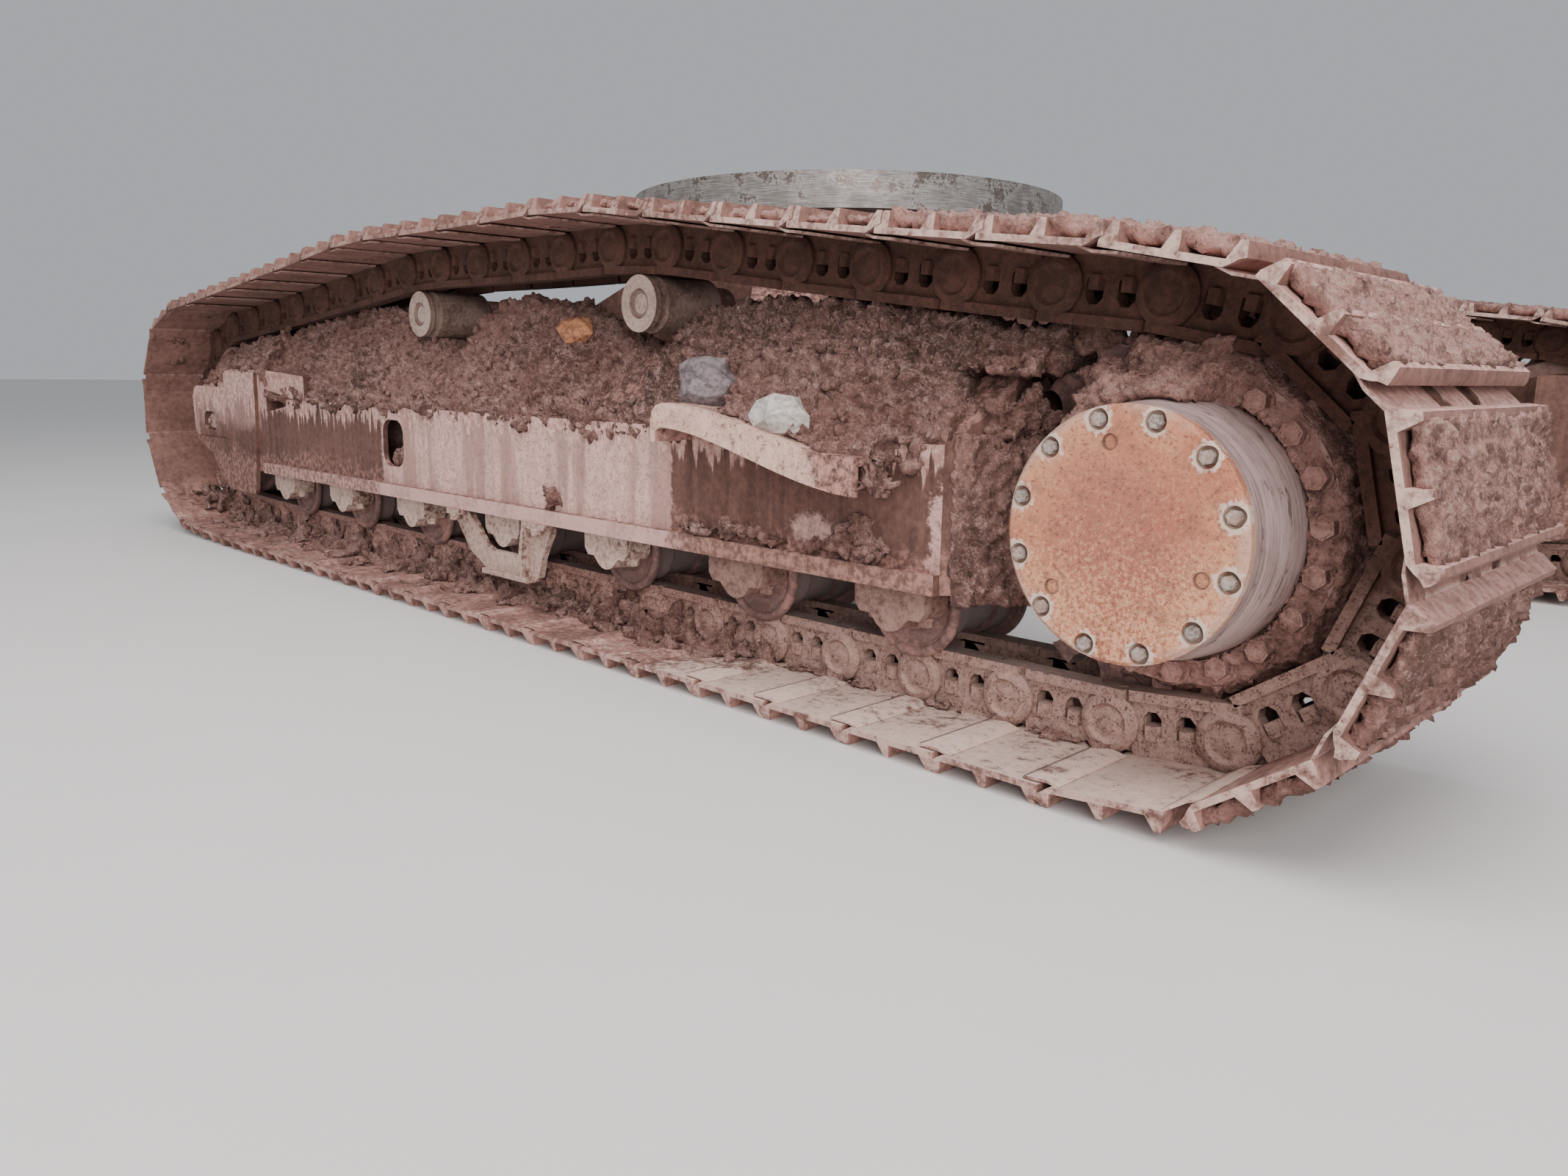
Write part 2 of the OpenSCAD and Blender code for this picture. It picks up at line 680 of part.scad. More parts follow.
module box() {
    slot_x = box_front_x - slot_l;
    slot_end = box_front_x - frame_wall;
    difference() {
        union() {
            lengthwise(box_rear_x, box_front_x) box_section(0);
            lengthwise(box_rear_x, box_front_x)
                polygon([[-frame_in - lip, frame_z], [frame_out + lip, frame_z],
                    [frame_out + lip, frame_z + lip_h], [-frame_in - lip, frame_z + lip_h]]);
            taper();
        }
        lengthwise(box_rear_x + frame_wall, bulkhead_x) box_section(frame_wall);
        lengthwise(bulkhead_x + frame_wall, box_front_x - frame_wall) box_section(frame_wall);
        translate([box_rear_x - eps, -floor_gap, frame_z - eps])
            cube([box_front_x - box_rear_x + 2 * eps, 2 * floor_gap, roller_r + roller_flange]);
        upright(frame_out - frame_wall - eps, frame_out + eps)
            translate([sprocket_c[0] + hole_x, (frame_z + floor_t + shoulder_z) / 2 + 14])
                rounded_rect(hole_w, hole_h, hole_corner);
        // Slot under the guide bar
        upright(frame_out - frame_wall - eps, frame_out + eps) polygon([
            [slot_x, shoulder_z - 22], [slot_end, shoulder_z - 45],
            [slot_end, shoulder_z + frame_wall + 2 * eps], [slot_x, shoulder_z + frame_wall + 2 * eps]
        ]);
        translate([box_front_x - frame_wall - eps, 0, idler_c[1]]) rotate([0, 90, 0])
            cylinder(r = rod_r + 14, h = frame_wall + 2 * eps);
    }
}

module side_frame() {
    color(rust_brown) union() {
        box();
        fork();
        motor_bracket();
    }
}

// Boarding step on the outer side of the frame: a plate bent down at its front, with a rim that runs
// down in an S
module step() {
    front = sprocket_c[0] + step_front;
    rear = sprocket_c[0] + step_rear;
    top = shoulder_z + 50;
    drop = 74;
    t = 14;
    rim_t = 14;
    rim_front = 46;
    rim_rear = 64;
    corner_r = 34;
    reach_out = 92;
    steps = 12;
    run = front - corner_r - rear;
    function tread_z(u) = top - drop * (3 * u * u - 2 * u * u * u);
    function tread(u, down) = [front - corner_r - run * u, tread_z(u) - down];
    hook = [for (a = [0:30:90]) [front - corner_r, top - corner_r] + polar(corner_r, a)];
    hook_in = [for (a = [90:-30:0]) [front - corner_r, top - corner_r] + polar(corner_r - t, a)];
    upper = [for (i = [0:steps]) tread(i / steps, 0)];
    lower = [for (i = [steps:-1:0]) tread(i / steps, t)];
    rim_low = [for (i = [steps:-1:0]) tread(i / steps, rim_front + (rim_rear - rim_front) * i / steps)];
    color(pale_mud) union() {
        upright(frame_out + seat, frame_out + reach_out)
            polygon(concat([[front, top - 74]], hook, upper, lower, hook_in, [[front - t, top - 74]]));
        upright(frame_out + reach_out - rim_t, frame_out + reach_out)
            polygon(concat(
                [[front, top - corner_r - 20]], hook, upper, rim_low, [[front - t, top - corner_r - 20]]));
    }
}

// A shell of plate round the rear of the travel motor
module motor_guard() {
    shell_r = flange_r;
    t = 10;
    y_out = bracket_out - bracket_t - seat;
    y_in = -motor_reach - seat - t;
    color(rust_brown) difference() {
        bar(sprocket_c, shell_r, y_in, y_out);
        bar(sprocket_c, shell_r - t, y_in + t, y_out + eps);
        // The half towards the side frame stays open
        translate([sprocket_c[0] + 40, y_in - eps, 0]) cube([shell_r, y_out - y_in + 2 * eps, ridge_z]);
        for (a = [150, 210])
            bar(sprocket_c + polar(shell_r * 0.62, a), 34, y_in - eps, y_in + t + eps);
    }
}

// Centre frame

foot_y = gauge / 2 - frame_in;
leg_root = [240, 300];
leg_turn = atan2(foot_y - leg_root[1], leg_foot - leg_root[0]);
// A leg is drawn longer than it is and then cut off at the side frame
leg_span = reach(leg_root, [leg_foot, foot_y]);
leg_run = leg_span + leg_w;

// One leg's side view, from its root out: [distance, z]
module leg_profile(t) {
    top = inner_shoulder_z - 12;
    low = top - leg_foot_h;
    root_low = belly_z + 8;
    polygon([
        [0, root_low + t], [leg_span * 0.22, root_low + t], [leg_span * 0.85, low + t],
        [leg_run, low + t], [leg_run, top - t], [leg_span * 0.94, top - t],
        [core_r - 330, deck_z - 30 - t], [0, deck_z - 30 - t]
    ]);
}

// One leg, in a quarter given by its signs
module leg(sx, sy, t) {
    turn = sx * sy > 0 ? (sx > 0 ? leg_turn : leg_turn + 180) : (sx > 0 ? -leg_turn : 180 - leg_turn);
    translate([sx * leg_root[0], sy * leg_root[1], 0]) rotate(turn)
        upright(-leg_w / 2 + t, leg_w / 2 - t) leg_profile(t);
}

// Two hollow legs that run from the drum to the side frames
module legs(sx) {
    half = foot_y - seat;
    color(rust_brown) for (sy = [-1, 1]) difference() {
        intersection() {
            leg(sx, sy, 0);
            translate([-leg_run, -half, 0]) cube([2 * leg_run, 2 * half, ring_top]);
        }
        intersection() {
            leg(sx, sy, core_wall);
            translate([-leg_run, -half + core_wall, 0])
                cube([2 * leg_run, 2 * (half - core_wall), ring_top]);
        }
        translate([0, 0, belly_z - eps]) cylinder(r = core_r + seat, h = ring_top);
    }
}

// The round box between the legs, with the collar that carries the slewing ring
module center_drum() {
    throat_r = gear_tip_r - 20;
    color(rust_brown) difference() {
        union() {
            translate([0, 0, belly_z]) cylinder(r = core_r, h = deck_z - belly_z);
            translate([0, 0, deck_z - 9])
                cylinder(r1 = core_r - 12, r2 = race_r - 4, h = ring_low - deck_z + 9);
        }
        translate([0, 0, belly_z + core_wall])
            cylinder(r = core_r - core_wall, h = deck_z - belly_z - 2 * core_wall);
        translate([0, 0, deck_z - core_wall - eps])
            cylinder(r = throat_r, h = ring_low - deck_z + core_wall + 2 * eps);
        translate([0, 0, belly_z - eps]) cylinder(r = belly_hole_r, h = core_wall + 2 * eps);
    }
}

module belly_cover() {
    color(dark_brown) translate([0, 0, belly_z - 10]) difference() {
        cylinder(r = belly_hole_r + 40, h = 10 - seat);
        translate([0, 0, -eps]) cylinder(r = 45, h = 12);
    }
}

// Centre swivel joint with its foot on the belly cover
module swivel_joint() {
    base = belly_z - seat;
    top = ring_top - 70;
    color(dark_brown) translate([0, 0, base]) rotate_extrude() polygon([
        [50, 0], [belly_hole_r - 30, 0], [belly_hole_r - 30, 16], [swivel_r, 24], [swivel_r, swivel_body],
        [swivel_r + 14, swivel_body + 6], [swivel_r + 14, swivel_head], [swivel_r - 14, swivel_head + 6],
        [swivel_r - 14, top - base - 60], [swivel_r - 34, top - base - 50], [swivel_r - 34, top - base],
        [0, top - base], [0, 40], [30, 40], [50, 30]
    ]);
}

// Slewing ring

module slew_ring_inner() {
    gear_root_r = gear_tip_r + gear_depth;
    tooth = 360 / gear_teeth;
    color(worn_steel) difference() {
        translate([0, 0, ring_low]) cylinder(r = race_r, h = ring_h - ring_step);
        translate([0, 0, ring_low - eps]) linear_extrude(ring_h + 2 * eps)
            polygon([for (i = [0:gear_teeth - 1]) each [
                polar(gear_tip_r, (i - 0.15) * tooth), polar(gear_tip_r, (i + 0.15) * tooth),
                polar(gear_root_r, (i + 0.32) * tooth), polar(gear_root_r, (i + 0.68) * tooth)
            ]]);
    }
}

module slew_ring_outer() {
    color(worn_steel) difference() {
        translate([0, 0, ring_low + ring_step]) cylinder(r = ring_r, h = ring_h - ring_step);
        translate([0, 0, ring_low]) cylinder(r = race_r + race_gap, h = ring_h + eps);
        for (i = [0:bolt_count - 1]) rotate(i * 360 / bolt_count)
            translate([bolt_circle_r, 0, ring_low]) cylinder(r = bolt_hole_r, h = ring_h + eps);
    }
}

center_drum();
legs(1);  // legs_front
legs(-1);  // legs_rear
belly_cover();
swivel_joint();
slew_ring_inner();
slew_ring_outer();
for (side = [["_left", 1], ["_right", -1]]) {
    on_side(side[1]) side_frame();
    on_side(side[1]) step();
    on_side(side[1]) motor_guard();
    on_side(side[1]) travel_motor();
    on_side(side[1]) final_drive();
    on_side(side[1]) drive_cover();
    on_side(side[1]) sprocket();
    on_side(side[1]) idler();
    on_side(side[1]) idler_yoke();
    on_side(side[1]) recoil_unit();
    on_side(side[1]) track_rollers();
    on_side(side[1]) roller_collars();
    on_side(side[1]) track_guards();
    on_side(side[1]) carrier_rollers();
    on_side(side[1]) carrier_brackets();
    on_side(side[1]) track_chain();
    on_side(side[1]) track_shoes();
}
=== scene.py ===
"""Finish of a crawler undercarriage: chain links, track shoes, bolts, mud, surfaces, light and camera."""

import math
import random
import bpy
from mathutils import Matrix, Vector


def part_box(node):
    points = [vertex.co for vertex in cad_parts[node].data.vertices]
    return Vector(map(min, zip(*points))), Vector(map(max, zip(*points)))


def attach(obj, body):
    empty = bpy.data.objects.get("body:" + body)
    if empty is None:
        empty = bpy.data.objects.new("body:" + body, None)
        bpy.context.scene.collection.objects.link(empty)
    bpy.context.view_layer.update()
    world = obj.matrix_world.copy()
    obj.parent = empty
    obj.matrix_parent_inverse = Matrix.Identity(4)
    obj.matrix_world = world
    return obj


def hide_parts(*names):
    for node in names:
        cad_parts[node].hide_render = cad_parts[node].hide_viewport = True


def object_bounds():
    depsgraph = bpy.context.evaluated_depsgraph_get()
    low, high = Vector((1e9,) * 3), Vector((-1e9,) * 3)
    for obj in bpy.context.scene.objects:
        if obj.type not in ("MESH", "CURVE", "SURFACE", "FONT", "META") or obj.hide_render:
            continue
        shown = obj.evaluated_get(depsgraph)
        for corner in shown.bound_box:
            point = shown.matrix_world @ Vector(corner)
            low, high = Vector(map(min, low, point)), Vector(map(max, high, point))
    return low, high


bl_info = {
    "name": "Crawler Undercarriage",
    "version": (1, 0, 0),
    "blender": (4, 5, 0),
    "location": "3D Viewport > Sidebar > Undercarriage",
    "description": "Finishes an excavator's undercarriage with links, shoes, bolts, mud and worn steel",
    "category": "Object",
}

import bmesh
import bpy
from bpy.props import FloatProperty, FloatVectorProperty, IntProperty, PointerProperty
from mathutils import Euler, Matrix, Vector
from mathutils.geometry import tessellate_polygon

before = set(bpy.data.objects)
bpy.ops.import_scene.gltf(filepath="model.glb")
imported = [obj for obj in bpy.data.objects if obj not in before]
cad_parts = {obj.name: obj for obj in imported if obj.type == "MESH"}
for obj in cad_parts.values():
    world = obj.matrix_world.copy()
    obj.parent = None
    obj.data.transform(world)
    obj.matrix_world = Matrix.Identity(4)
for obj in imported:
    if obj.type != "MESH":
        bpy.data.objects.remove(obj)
CAD_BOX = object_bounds()
FIXED = "undercarriage"
SIDES = (("left", 1), ("right", -1))

# The middle of the left track
TRACK_Y = (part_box("sprocket_left")[0].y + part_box("sprocket_left")[1].y) / 2


def wheel_place(node):
    """Where a wheel's axis stands, seen from the side."""
    low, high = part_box(node)
    return Vector(((low.x + high.x) / 2, (low.z + high.z) / 2))


# Wheels, by the places that the frame gives and the sizes of the part's source, in metres and radians
DRIVE = wheel_place("drive_cover_left")
IDLER = wheel_place("idler_left")
SPROCKET_TEETH = 21
PIN_PHASE = math.radians(17.5)
IDLER_TREAD_R = 0.255
IDLER_LIFT = 0.010
CARRIER_TREAD_R = 0.062
CARRIER_GAP = 0.007
SEAT_GAP = 0.0003
CARRIER_Z = 0.757
CARRIERS = (DRIVE.x + 1.264, DRIVE.x + 2.240)
FIRST_ROLLER = DRIVE.x + 0.474
ROLLER_PITCH = 0.429
ROLLER_SHIFT = (0, -0.038, -0.042, -0.043, 0, 0.008, 0.002)
ROLLERS = tuple(FIRST_ROLLER + ROLLER_PITCH * i + shift for i, shift in enumerate(ROLLER_SHIFT))

# Side frame: distances from the track's middle, heights, and places along the machine
FRAME_OUT = 0.195
FRAME_IN = 0.185
FLOOR_Z = 0.2603
SHOULDER_Z = 0.5053
RIDGE_Z = 0.6403
INNER_SHOULDER_Z = 0.5253
BOX_REAR = DRIVE.x + 0.356
BOX_FRONT = -DRIVE.x - 0.520
HOLE_X = DRIVE.x + 2.241

# End cover: how many bolts and plugs it has, the radii of their circles and their first angles
COVER_BOLTS = 12
COVER_BOLT_R = 0.161
COVER_BOLT_PHASE = math.radians(15)
COVER_PLUGS = 3
PLUG_R = 0.128
PLUG_PHASE = math.radians(80)

# The greatest angle of a random turn, the angle in degrees that leaves no edge of a shape sharp, and a
# hexagon's width across its flats over the radius of its corners
RANDOM_TURN = 6.28
ALL_SMOOTH = 180
FLATS_TO_CORNERS = 1.732

# Colours of single finishes, by what they show. A pair goes from dark to light.
RED_EARTH = (0.270, 0.105, 0.080)
RUSTY_PAINT = (0.185, 0.088, 0.067)
TAN_DUST = (0.540, 0.320, 0.280)
BROWN_RUN = (0.330, 0.180, 0.150)
DUST_PIT = (0.280, 0.165, 0.140)
LIP_RUST = (0.235, 0.120, 0.088)
CASTING_RUST = (0.270, 0.150, 0.120)
CASTING_DUST = (0.470, 0.315, 0.265)
BLOCK_RUST = ((0.130, 0.062, 0.048), (0.280, 0.160, 0.130))
BLOCK_DUST = ((0.400, 0.262, 0.215), (0.700, 0.525, 0.455))
STEP_DUST = ((0.440, 0.250, 0.200), (0.770, 0.510, 0.420))
STEP_PIT = (0.150, 0.070, 0.055)
SCOURED_DRUM = ((0.250, 0.165, 0.158), (0.560, 0.415, 0.400))
DRUM_BLOT = (0.110, 0.070, 0.066)
DRUM_SOIL = (0.380, 0.235, 0.205)
COVER_DEEP = (0.400, 0.140, 0.080)
COVER_MIDDLE = (0.345, 0.115, 0.082)
COVER_SPECKLE = (0.660, 0.350, 0.220)
COVER_MOTTLE = (0.250, 0.110, 0.080)
COVER_PIT = (0.150, 0.055, 0.040)
COVER_RIM = (0.500, 0.380, 0.330)
BOLT_RIM = (0.640, 0.520, 0.440)
# Painted shade in the recesses round the cover's bolts and plugs
BOLT_RECESS_SHADE = (0.120, 0.065, 0.050)
WHEEL_RUST = ((0.120, 0.062, 0.055), (0.250, 0.145, 0.130))
CARRIER_RUST = ((0.110, 0.060, 0.050), (0.300, 0.200, 0.165))
CARRIER_FACE = ((0.330, 0.215, 0.175), (0.570, 0.430, 0.370))
CARRIER_GROOVE = (0.150, 0.085, 0.070)
CHAIN_DUST = ((0.225, 0.125, 0.102), (0.500, 0.325, 0.275))
SHOE_EDGE = (0.600, 0.430, 0.375)
RING_METAL = ((0.180, 0.160, 0.150), (0.420, 0.395, 0.375))
GREASE = (0.085, 0.052, 0.036)
BOLT_METAL = ((0.150, 0.110, 0.095), (0.480, 0.410, 0.370))
BOLT_RUST = (0.330, 0.170, 0.115)
FLOOR_GREY = ((0.70, 0.68, 0.67), (0.74, 0.72, 0.71))


class TrackSizes(bpy.types.PropertyGroup):
    """Sizes of the chain and the shoes"""

    link_pitch: FloatProperty(
        name="Link Pitch", description="Distance between two pins", default=0.190, unit="LENGTH")
    rail_height: FloatProperty(
        name="Rail Height", description="Height of the rail above the pins", default=0.057, unit="LENGTH")
    shoe_depth: FloatProperty(
        name="Shoe Depth", description="Depth of the shoe's inner face below the pins", default=0.048,
        unit="LENGTH")
    bar_height: FloatProperty(
        name="Bar Height", description="Height of a shoe's bars with its plate", default=0.035, unit="LENGTH")
    shoe_width: FloatProperty(
        name="Shoe Width", description="Width of the track shoes", default=0.600, unit="LENGTH")
    shoe_count: IntProperty(name="Shoes", description="Number of shoes on one track", default=49)
    top_sag: FloatProperty(
        name="Sag", description="How far the upper run sags between its supports", default=0.004,
        unit="LENGTH")


class MudLook(bpy.types.PropertyGroup):
    """How the dried mud lies"""

    seed: IntProperty(name="Seed", description="Changes how the mud lies", default=7)
    voxel: FloatProperty(
        name="Grain", description="Size of the smallest form of the mud", default=0.0078, unit="LENGTH")
    swell: FloatProperty(
        name="Swell", description="Height of the mud's broad forms", default=0.036, unit="LENGTH")
    crumb: FloatProperty(
        name="Crumbs", description="Size of a loose crumb", default=0.0070, unit="LENGTH")
    dark: FloatVectorProperty(
        name="Damp Colour", description="Colour of the damp mud", default=(0.150, 0.075, 0.059),
        subtype="COLOR")
    mid: FloatVectorProperty(
        name="Mud Colour", description="Colour of most of the mud", default=(0.500, 0.262, 0.222),
        subtype="COLOR")
    pale: FloatVectorProperty(
        name="Dry Colour", description="Colour of the dry mud", default=(0.810, 0.530, 0.470),
        subtype="COLOR")


class SteelLook(bpy.types.PropertyGroup):
    """Colours of the steel parts"""

    dark_paint: FloatVectorProperty(
        name="Frame Paint", description="Old dark paint of the frames", default=(0.072, 0.031, 0.025),
        subtype="COLOR")
    dust: FloatVectorProperty(
        name="Dust", description="Dry dust that covers the frame's side", default=(0.665, 0.405, 0.368),
        subtype="COLOR")
    rust: FloatVectorProperty(
        name="Rust", description="Brown rust of castings and chain", default=(0.140, 0.060, 0.042),
        subtype="COLOR")
    orange: FloatVectorProperty(
        name="Cover Rust", description="Orange rust of the end covers", default=(0.560, 0.248, 0.138),
        subtype="COLOR")
    worn: FloatVectorProperty(
        name="Worn Steel", description="Bare steel where wheels and rails run", default=(0.330, 0.290, 0.270),
        subtype="COLOR")
    plate: FloatVectorProperty(
        name="Shoe Plates", description="Dusty inner faces of the shoes", default=(0.640, 0.470, 0.405),
        subtype="COLOR")


# Node trees


class Wire:
    """A socket of a node tree that takes part in Python sums. Without a socket it stands for its tree."""

    def __init__(self, tree, socket=None):
        self.tree = tree
        self.socket = socket

    def node(self, kind, settings=None, sockets=None, out=0):
        """Adds a node: its settings first, then the values or links of its sockets."""
        added = self.tree.nodes.new(kind)
        for name, value in (settings or {}).items():
            setattr(added, name, value)
        for key, value in (sockets or {}).items():
            for part in value if isinstance(value, list) else [value]:
                if isinstance(part, Wire):
                    self.tree.links.new(part.socket, added.inputs[key])
                else:
                    added.inputs[key].default_value = part
        return Wire(self.tree, added.outputs[out] if len(added.outputs) else None)

    def other(self, name):
        """Another output of the same node."""
        return Wire(self.tree, self.socket.node.outputs[name])

    def sum(self, operation, *terms):
        """A Math node's result for these terms."""
        return self.node("ShaderNodeMath", {"operation": operation}, dict(enumerate(terms)))

    def __add__(self, term):
        return self.sum("ADD", self, term)

    __radd__ = __add__

    def __mul__(self, term):
        return self.sum("MULTIPLY", self, term)

    __rmul__ = __mul__

    def __sub__(self, term):
        return self.sum("SUBTRACT", self, term)

    def __rsub__(self, term):
        return self.sum("SUBTRACT", term, self)

    def __pow__(self, term):
        return self.sum("POWER", self, term)

    def __abs__(self):
        return self.sum("ABSOLUTE", self)

    def most(self, term):
        return self.sum("MAXIMUM", self, term)

    def least(self, term):
        return self.sum("MINIMUM", self, term)

    def rise(self, low, high):
        """0 below low, 1 above high and smooth between them."""
        return self.node("ShaderNodeMapRange", {"interpolation_type": "SMOOTHSTEP"},
                         {"Value": self, "From Min": low, "From Max": high})

    def tint(self, first, second):
        """Goes from the first colour to the second as this mask goes from 0 to 1."""
        first, second = (c if isinstance(c, Wire) else (*c, 1.0) for c in (first, second))
        return self.node("ShaderNodeMix", {"data_type": "RGBA"}, {0: self, 6: first, 7: second}, 2)


def shade(colour, share):
    """A lighter or darker tone of a colour."""
    return [part * share for part in colour]


class Finish:
    """One procedural material on Object coordinates."""

    def __init__(self, name):
        self.material = bpy.data.materials.new(name)
        self.material.use_nodes = True
        self.material.node_tree.nodes.clear()
        self.root = Wire(self.material.node_tree)
        self.place = self.root.node("ShaderNodeTexCoord", out="Object")
        facing = self.place.other("Normal")
        self.x = self.root.node("ShaderNodeSeparateXYZ", sockets={0: self.place})
        self.y, self.z = self.x.other("Y"), self.x.other("Z")
        self.up = self.root.node("ShaderNodeSeparateXYZ", sockets={0: facing}, out="Z")
        self.side = abs(self.up.other("Y"))
        self.out = abs(self.y) - TRACK_Y

    def noise(self, scale, detail=5.0, rough=0.6, stretch=None):
        """Cloudy noise, about 0.5 on average, with so many forms to a metre."""
        place = self.place
        if stretch:
            place = self.root.node("ShaderNodeVectorMath", {"operation": "MULTIPLY"}, {0: place, 1: stretch})
        return self.root.node("ShaderNodeTexNoise", None, {
            "Vector": place, "Scale": scale, "Detail": detail, "Roughness": rough})

    def grains(self, scale):
        """Distance from the middle of the nearest grain."""
        return self.root.node("ShaderNodeTexVoronoi", None, {"Vector": self.place, "Scale": scale})

    def radius(self, centre):
        """Distance from an axis that lies across the machine at a place (x, z)."""
        across, up = abs(self.x - centre[0]), abs(self.z - centre[1])
        return (across ** 2 + up ** 2) ** 0.5

    def coat(self, colour, roughness, relief, depth, metallic=0.0):
        """Ends the material. Relief is its height from 0 to 1, and depth is that height in metres."""
        bump = self.root.node("ShaderNodeBump", None, {"Distance": depth, "Height": relief})
        shader = self.root.node("ShaderNodeBsdfPrincipled", None, {
            "Base Color": colour, "Roughness": roughness, "Metallic": metallic, "Normal": bump})
        self.root.node("ShaderNodeOutputMaterial", None, {"Surface": shader})
        return self.material


def mud_finish(mud, name="dried_mud", lift=1.0):
    """Crumbly reddish earth: darker where it is damp, lighter on faces that look up or outwards, which is
    partly dry earth and partly painted light, with dry pale grains and painted shade in its pits. Lift makes
    it all lighter: partly drier earth, partly painted light.
    """
    f = Finish(name)
    broad = f.noise(3.6, 4.0)
    fine = f.noise(44.0, 7.0, 0.76)
    grit = f.noise(230.0, 4.0, 0.75)
    # Faces that look up or outwards come out lighter: partly drier earth, partly painted light
    dry = (broad * 0.40 + fine * 0.5 + f.up.most(f.side * 0.6) * 0.15).rise(0.41, 0.62)
    colour = dry.tint(shade(mud.dark, lift), shade(mud.mid, lift))
    colour = (fine * 0.45 + grit * 0.55 + f.up * 0.05).rise(0.50, 0.64).tint(colour, mud.pale)
    red = f.noise(2.0, 3.0).rise(0.50, 0.64)
    colour = (red * 0.45).tint(colour, RED_EARTH)
    # Painted shade: the pits of the relief take a colour darker than damp mud
    hole = (grit * 0.5 + fine * 0.5).rise(0.45, 0.38)
    colour = (hole * 0.7).tint(colour, shade(mud.dark, 0.5))
    relief = fine * 0.55 + grit * 0.45 + f.grains(90.0) * 0.20
    return f.coat(colour, 0.96, relief, 0.030)


def frame_finish(steel, mud):
    """Old dark paint and rust, pale dust on the middle of the outer side, mud that ran down from above. The
    dark paint at both ends of the dust is partly painted shade.
    """
    pale_rear, pale_front = DRIVE.x + 1.036, HOLE_X + 0.075
    splat_x, splat_z = DRIVE.x + 0.645, 0.340
    corner_x, corner_low, corner_high = BOX_REAR + 0.028, 0.270, 0.455
    fork_x, fork_low, fork_tip = BOX_FRONT + 0.030, 0.385, 1.905
    f = Finish("muddy_frame")
    patch = f.noise(7.0, 5.0)
    streak = f.noise(1.0, 5.0, 0.6, (34.0, 34.0, 2.2))
    wide_streak = f.noise(1.0, 3.0, 0.55, (9.0, 9.0, 0.8))
    fine = f.noise(60.0, 6.0, 0.7)
    grit = f.noise(240.0, 3.0)
    paint = (fine * 0.4 + streak * 0.3 + patch * 0.3).rise(0.38, 0.64).tint(steel.dark_paint, RUSTY_PAINT)
    outer = f.side.rise(0.7, 0.9) * f.out.rise(FRAME_OUT - 0.03, FRAME_OUT - 0.02)
    dust = (fine * 0.45 + streak * 0.3 + grit * 0.25).rise(0.34, 0.62).tint(
        shade(steel.dust, 0.66), shade(steel.dust, 1.20))
    dust = (patch.rise(0.50, 0.62) * 0.5).tint(dust, TAN_DUST)
    dust = (wide_streak.rise(0.52, 0.62) * 0.65).tint(dust, BROWN_RUN)
    dust = ((fine * 0.5 + grit * 0.5).rise(0.45, 0.38) * 0.6).tint(dust, DUST_PIT)

    # The pale stretch ends in a sharp edge behind, and in front at the access hole's front edge. Beyond both
    # edges the dark paint is partly painted shade: under the step behind, and in front of the hole.
    ragged = (fine - 0.5) * 0.03
    pale = (f.x + ragged).rise(pale_rear, pale_rear + 0.008) * (pale_front - f.x + ragged).rise(0.0, 0.02)
    worn = pale * (0.86 + 0.14 * patch.rise(0.3, 0.5))

    # Dust also lies in one oval splat, at the rear end's lower corner and on the front fork
    oval = (((f.x - splat_x) * 0.55) ** 2 + (f.z - splat_z) ** 2) ** 0.5
    splat = (0.036 - oval + (fine - 0.5) * 0.05).rise(0.0, 0.016)
    corner = (corner_x - f.x + (patch - 0.5) * 0.14 + (fine - 0.5) * 0.05).rise(0.0, 0.014) * (
        corner_high - f.z + (fine - 0.5) * 0.16).rise(0.0, 0.04) * (f.z - corner_low).rise(0.0, 0.02)
    fork = (f.x - fork_x).rise(0.0, 0.02) * (f.z - fork_low + (patch - 0.5) * 0.2).rise(0.0, 0.06) * 0.45
    fork = fork.most((f.x - fork_tip + ragged).rise(0.0, 0.008) * 0.85)
    dusty = outer * worn.most(splat * 0.62).most(corner * 0.75).most(fork)
    colour = dusty.tint(paint, dust)

    # Tan dust on the lip, orange brown towards its rear end
    lip = (f.out - FRAME_OUT - 0.002).rise(0.0, 0.004) * (FLOOR_Z + 0.045 - f.z).rise(0.0, 0.004)
    lip = lip * (f.x - BOX_REAR + 0.002).rise(0.0, 0.004) * (BOX_FRONT + 0.002 - f.x).rise(0.0, 0.004)
    lip_dust = (f.x - DRIVE.x - 1.0 + (patch - 0.5) * 0.3).rise(-0.1, 0.1).tint(
        LIP_RUST, shade(steel.dust, 0.9))
    colour = (lip * (0.35 + 0.55 * fine.rise(0.40, 0.6))).tint(colour, lip_dust)

    # Mud: damp on top and low down, dry where it ran over the shoulder
    run = (f.z + (streak - 0.5) * 0.28 + (patch - 0.5) * 0.06).rise(SHOULDER_Z - 0.050, SHOULDER_Z - 0.036)
    settled = f.up.rise(0.25, 0.75) * (fine * 0.5 + patch * 0.5).rise(0.34, 0.52)
    soil = fine.rise(0.4, 0.62).tint(mud.mid, mud.pale)
    damp = fine.rise(0.4, 0.62).tint(mud.dark, mud.mid)
    colour = (settled * 0.9).tint(colour, damp)
    low = (0.34 - f.z + (patch - 0.5) * 0.16 + (fine - 0.5) * 0.1).rise(0.0, 0.05) * (1 - pale) * 0.55
    colour = (low * f.side.rise(0.5, 0.8)).tint(colour, damp)
    colour = (run * outer * 0.8).tint(colour, soil)
    relief = fine * 0.4 + grit * 0.25 + settled.most(splat * outer).most(run * outer) * fine * 0.9
    return f.coat(colour, 0.88, relief, 0.004)


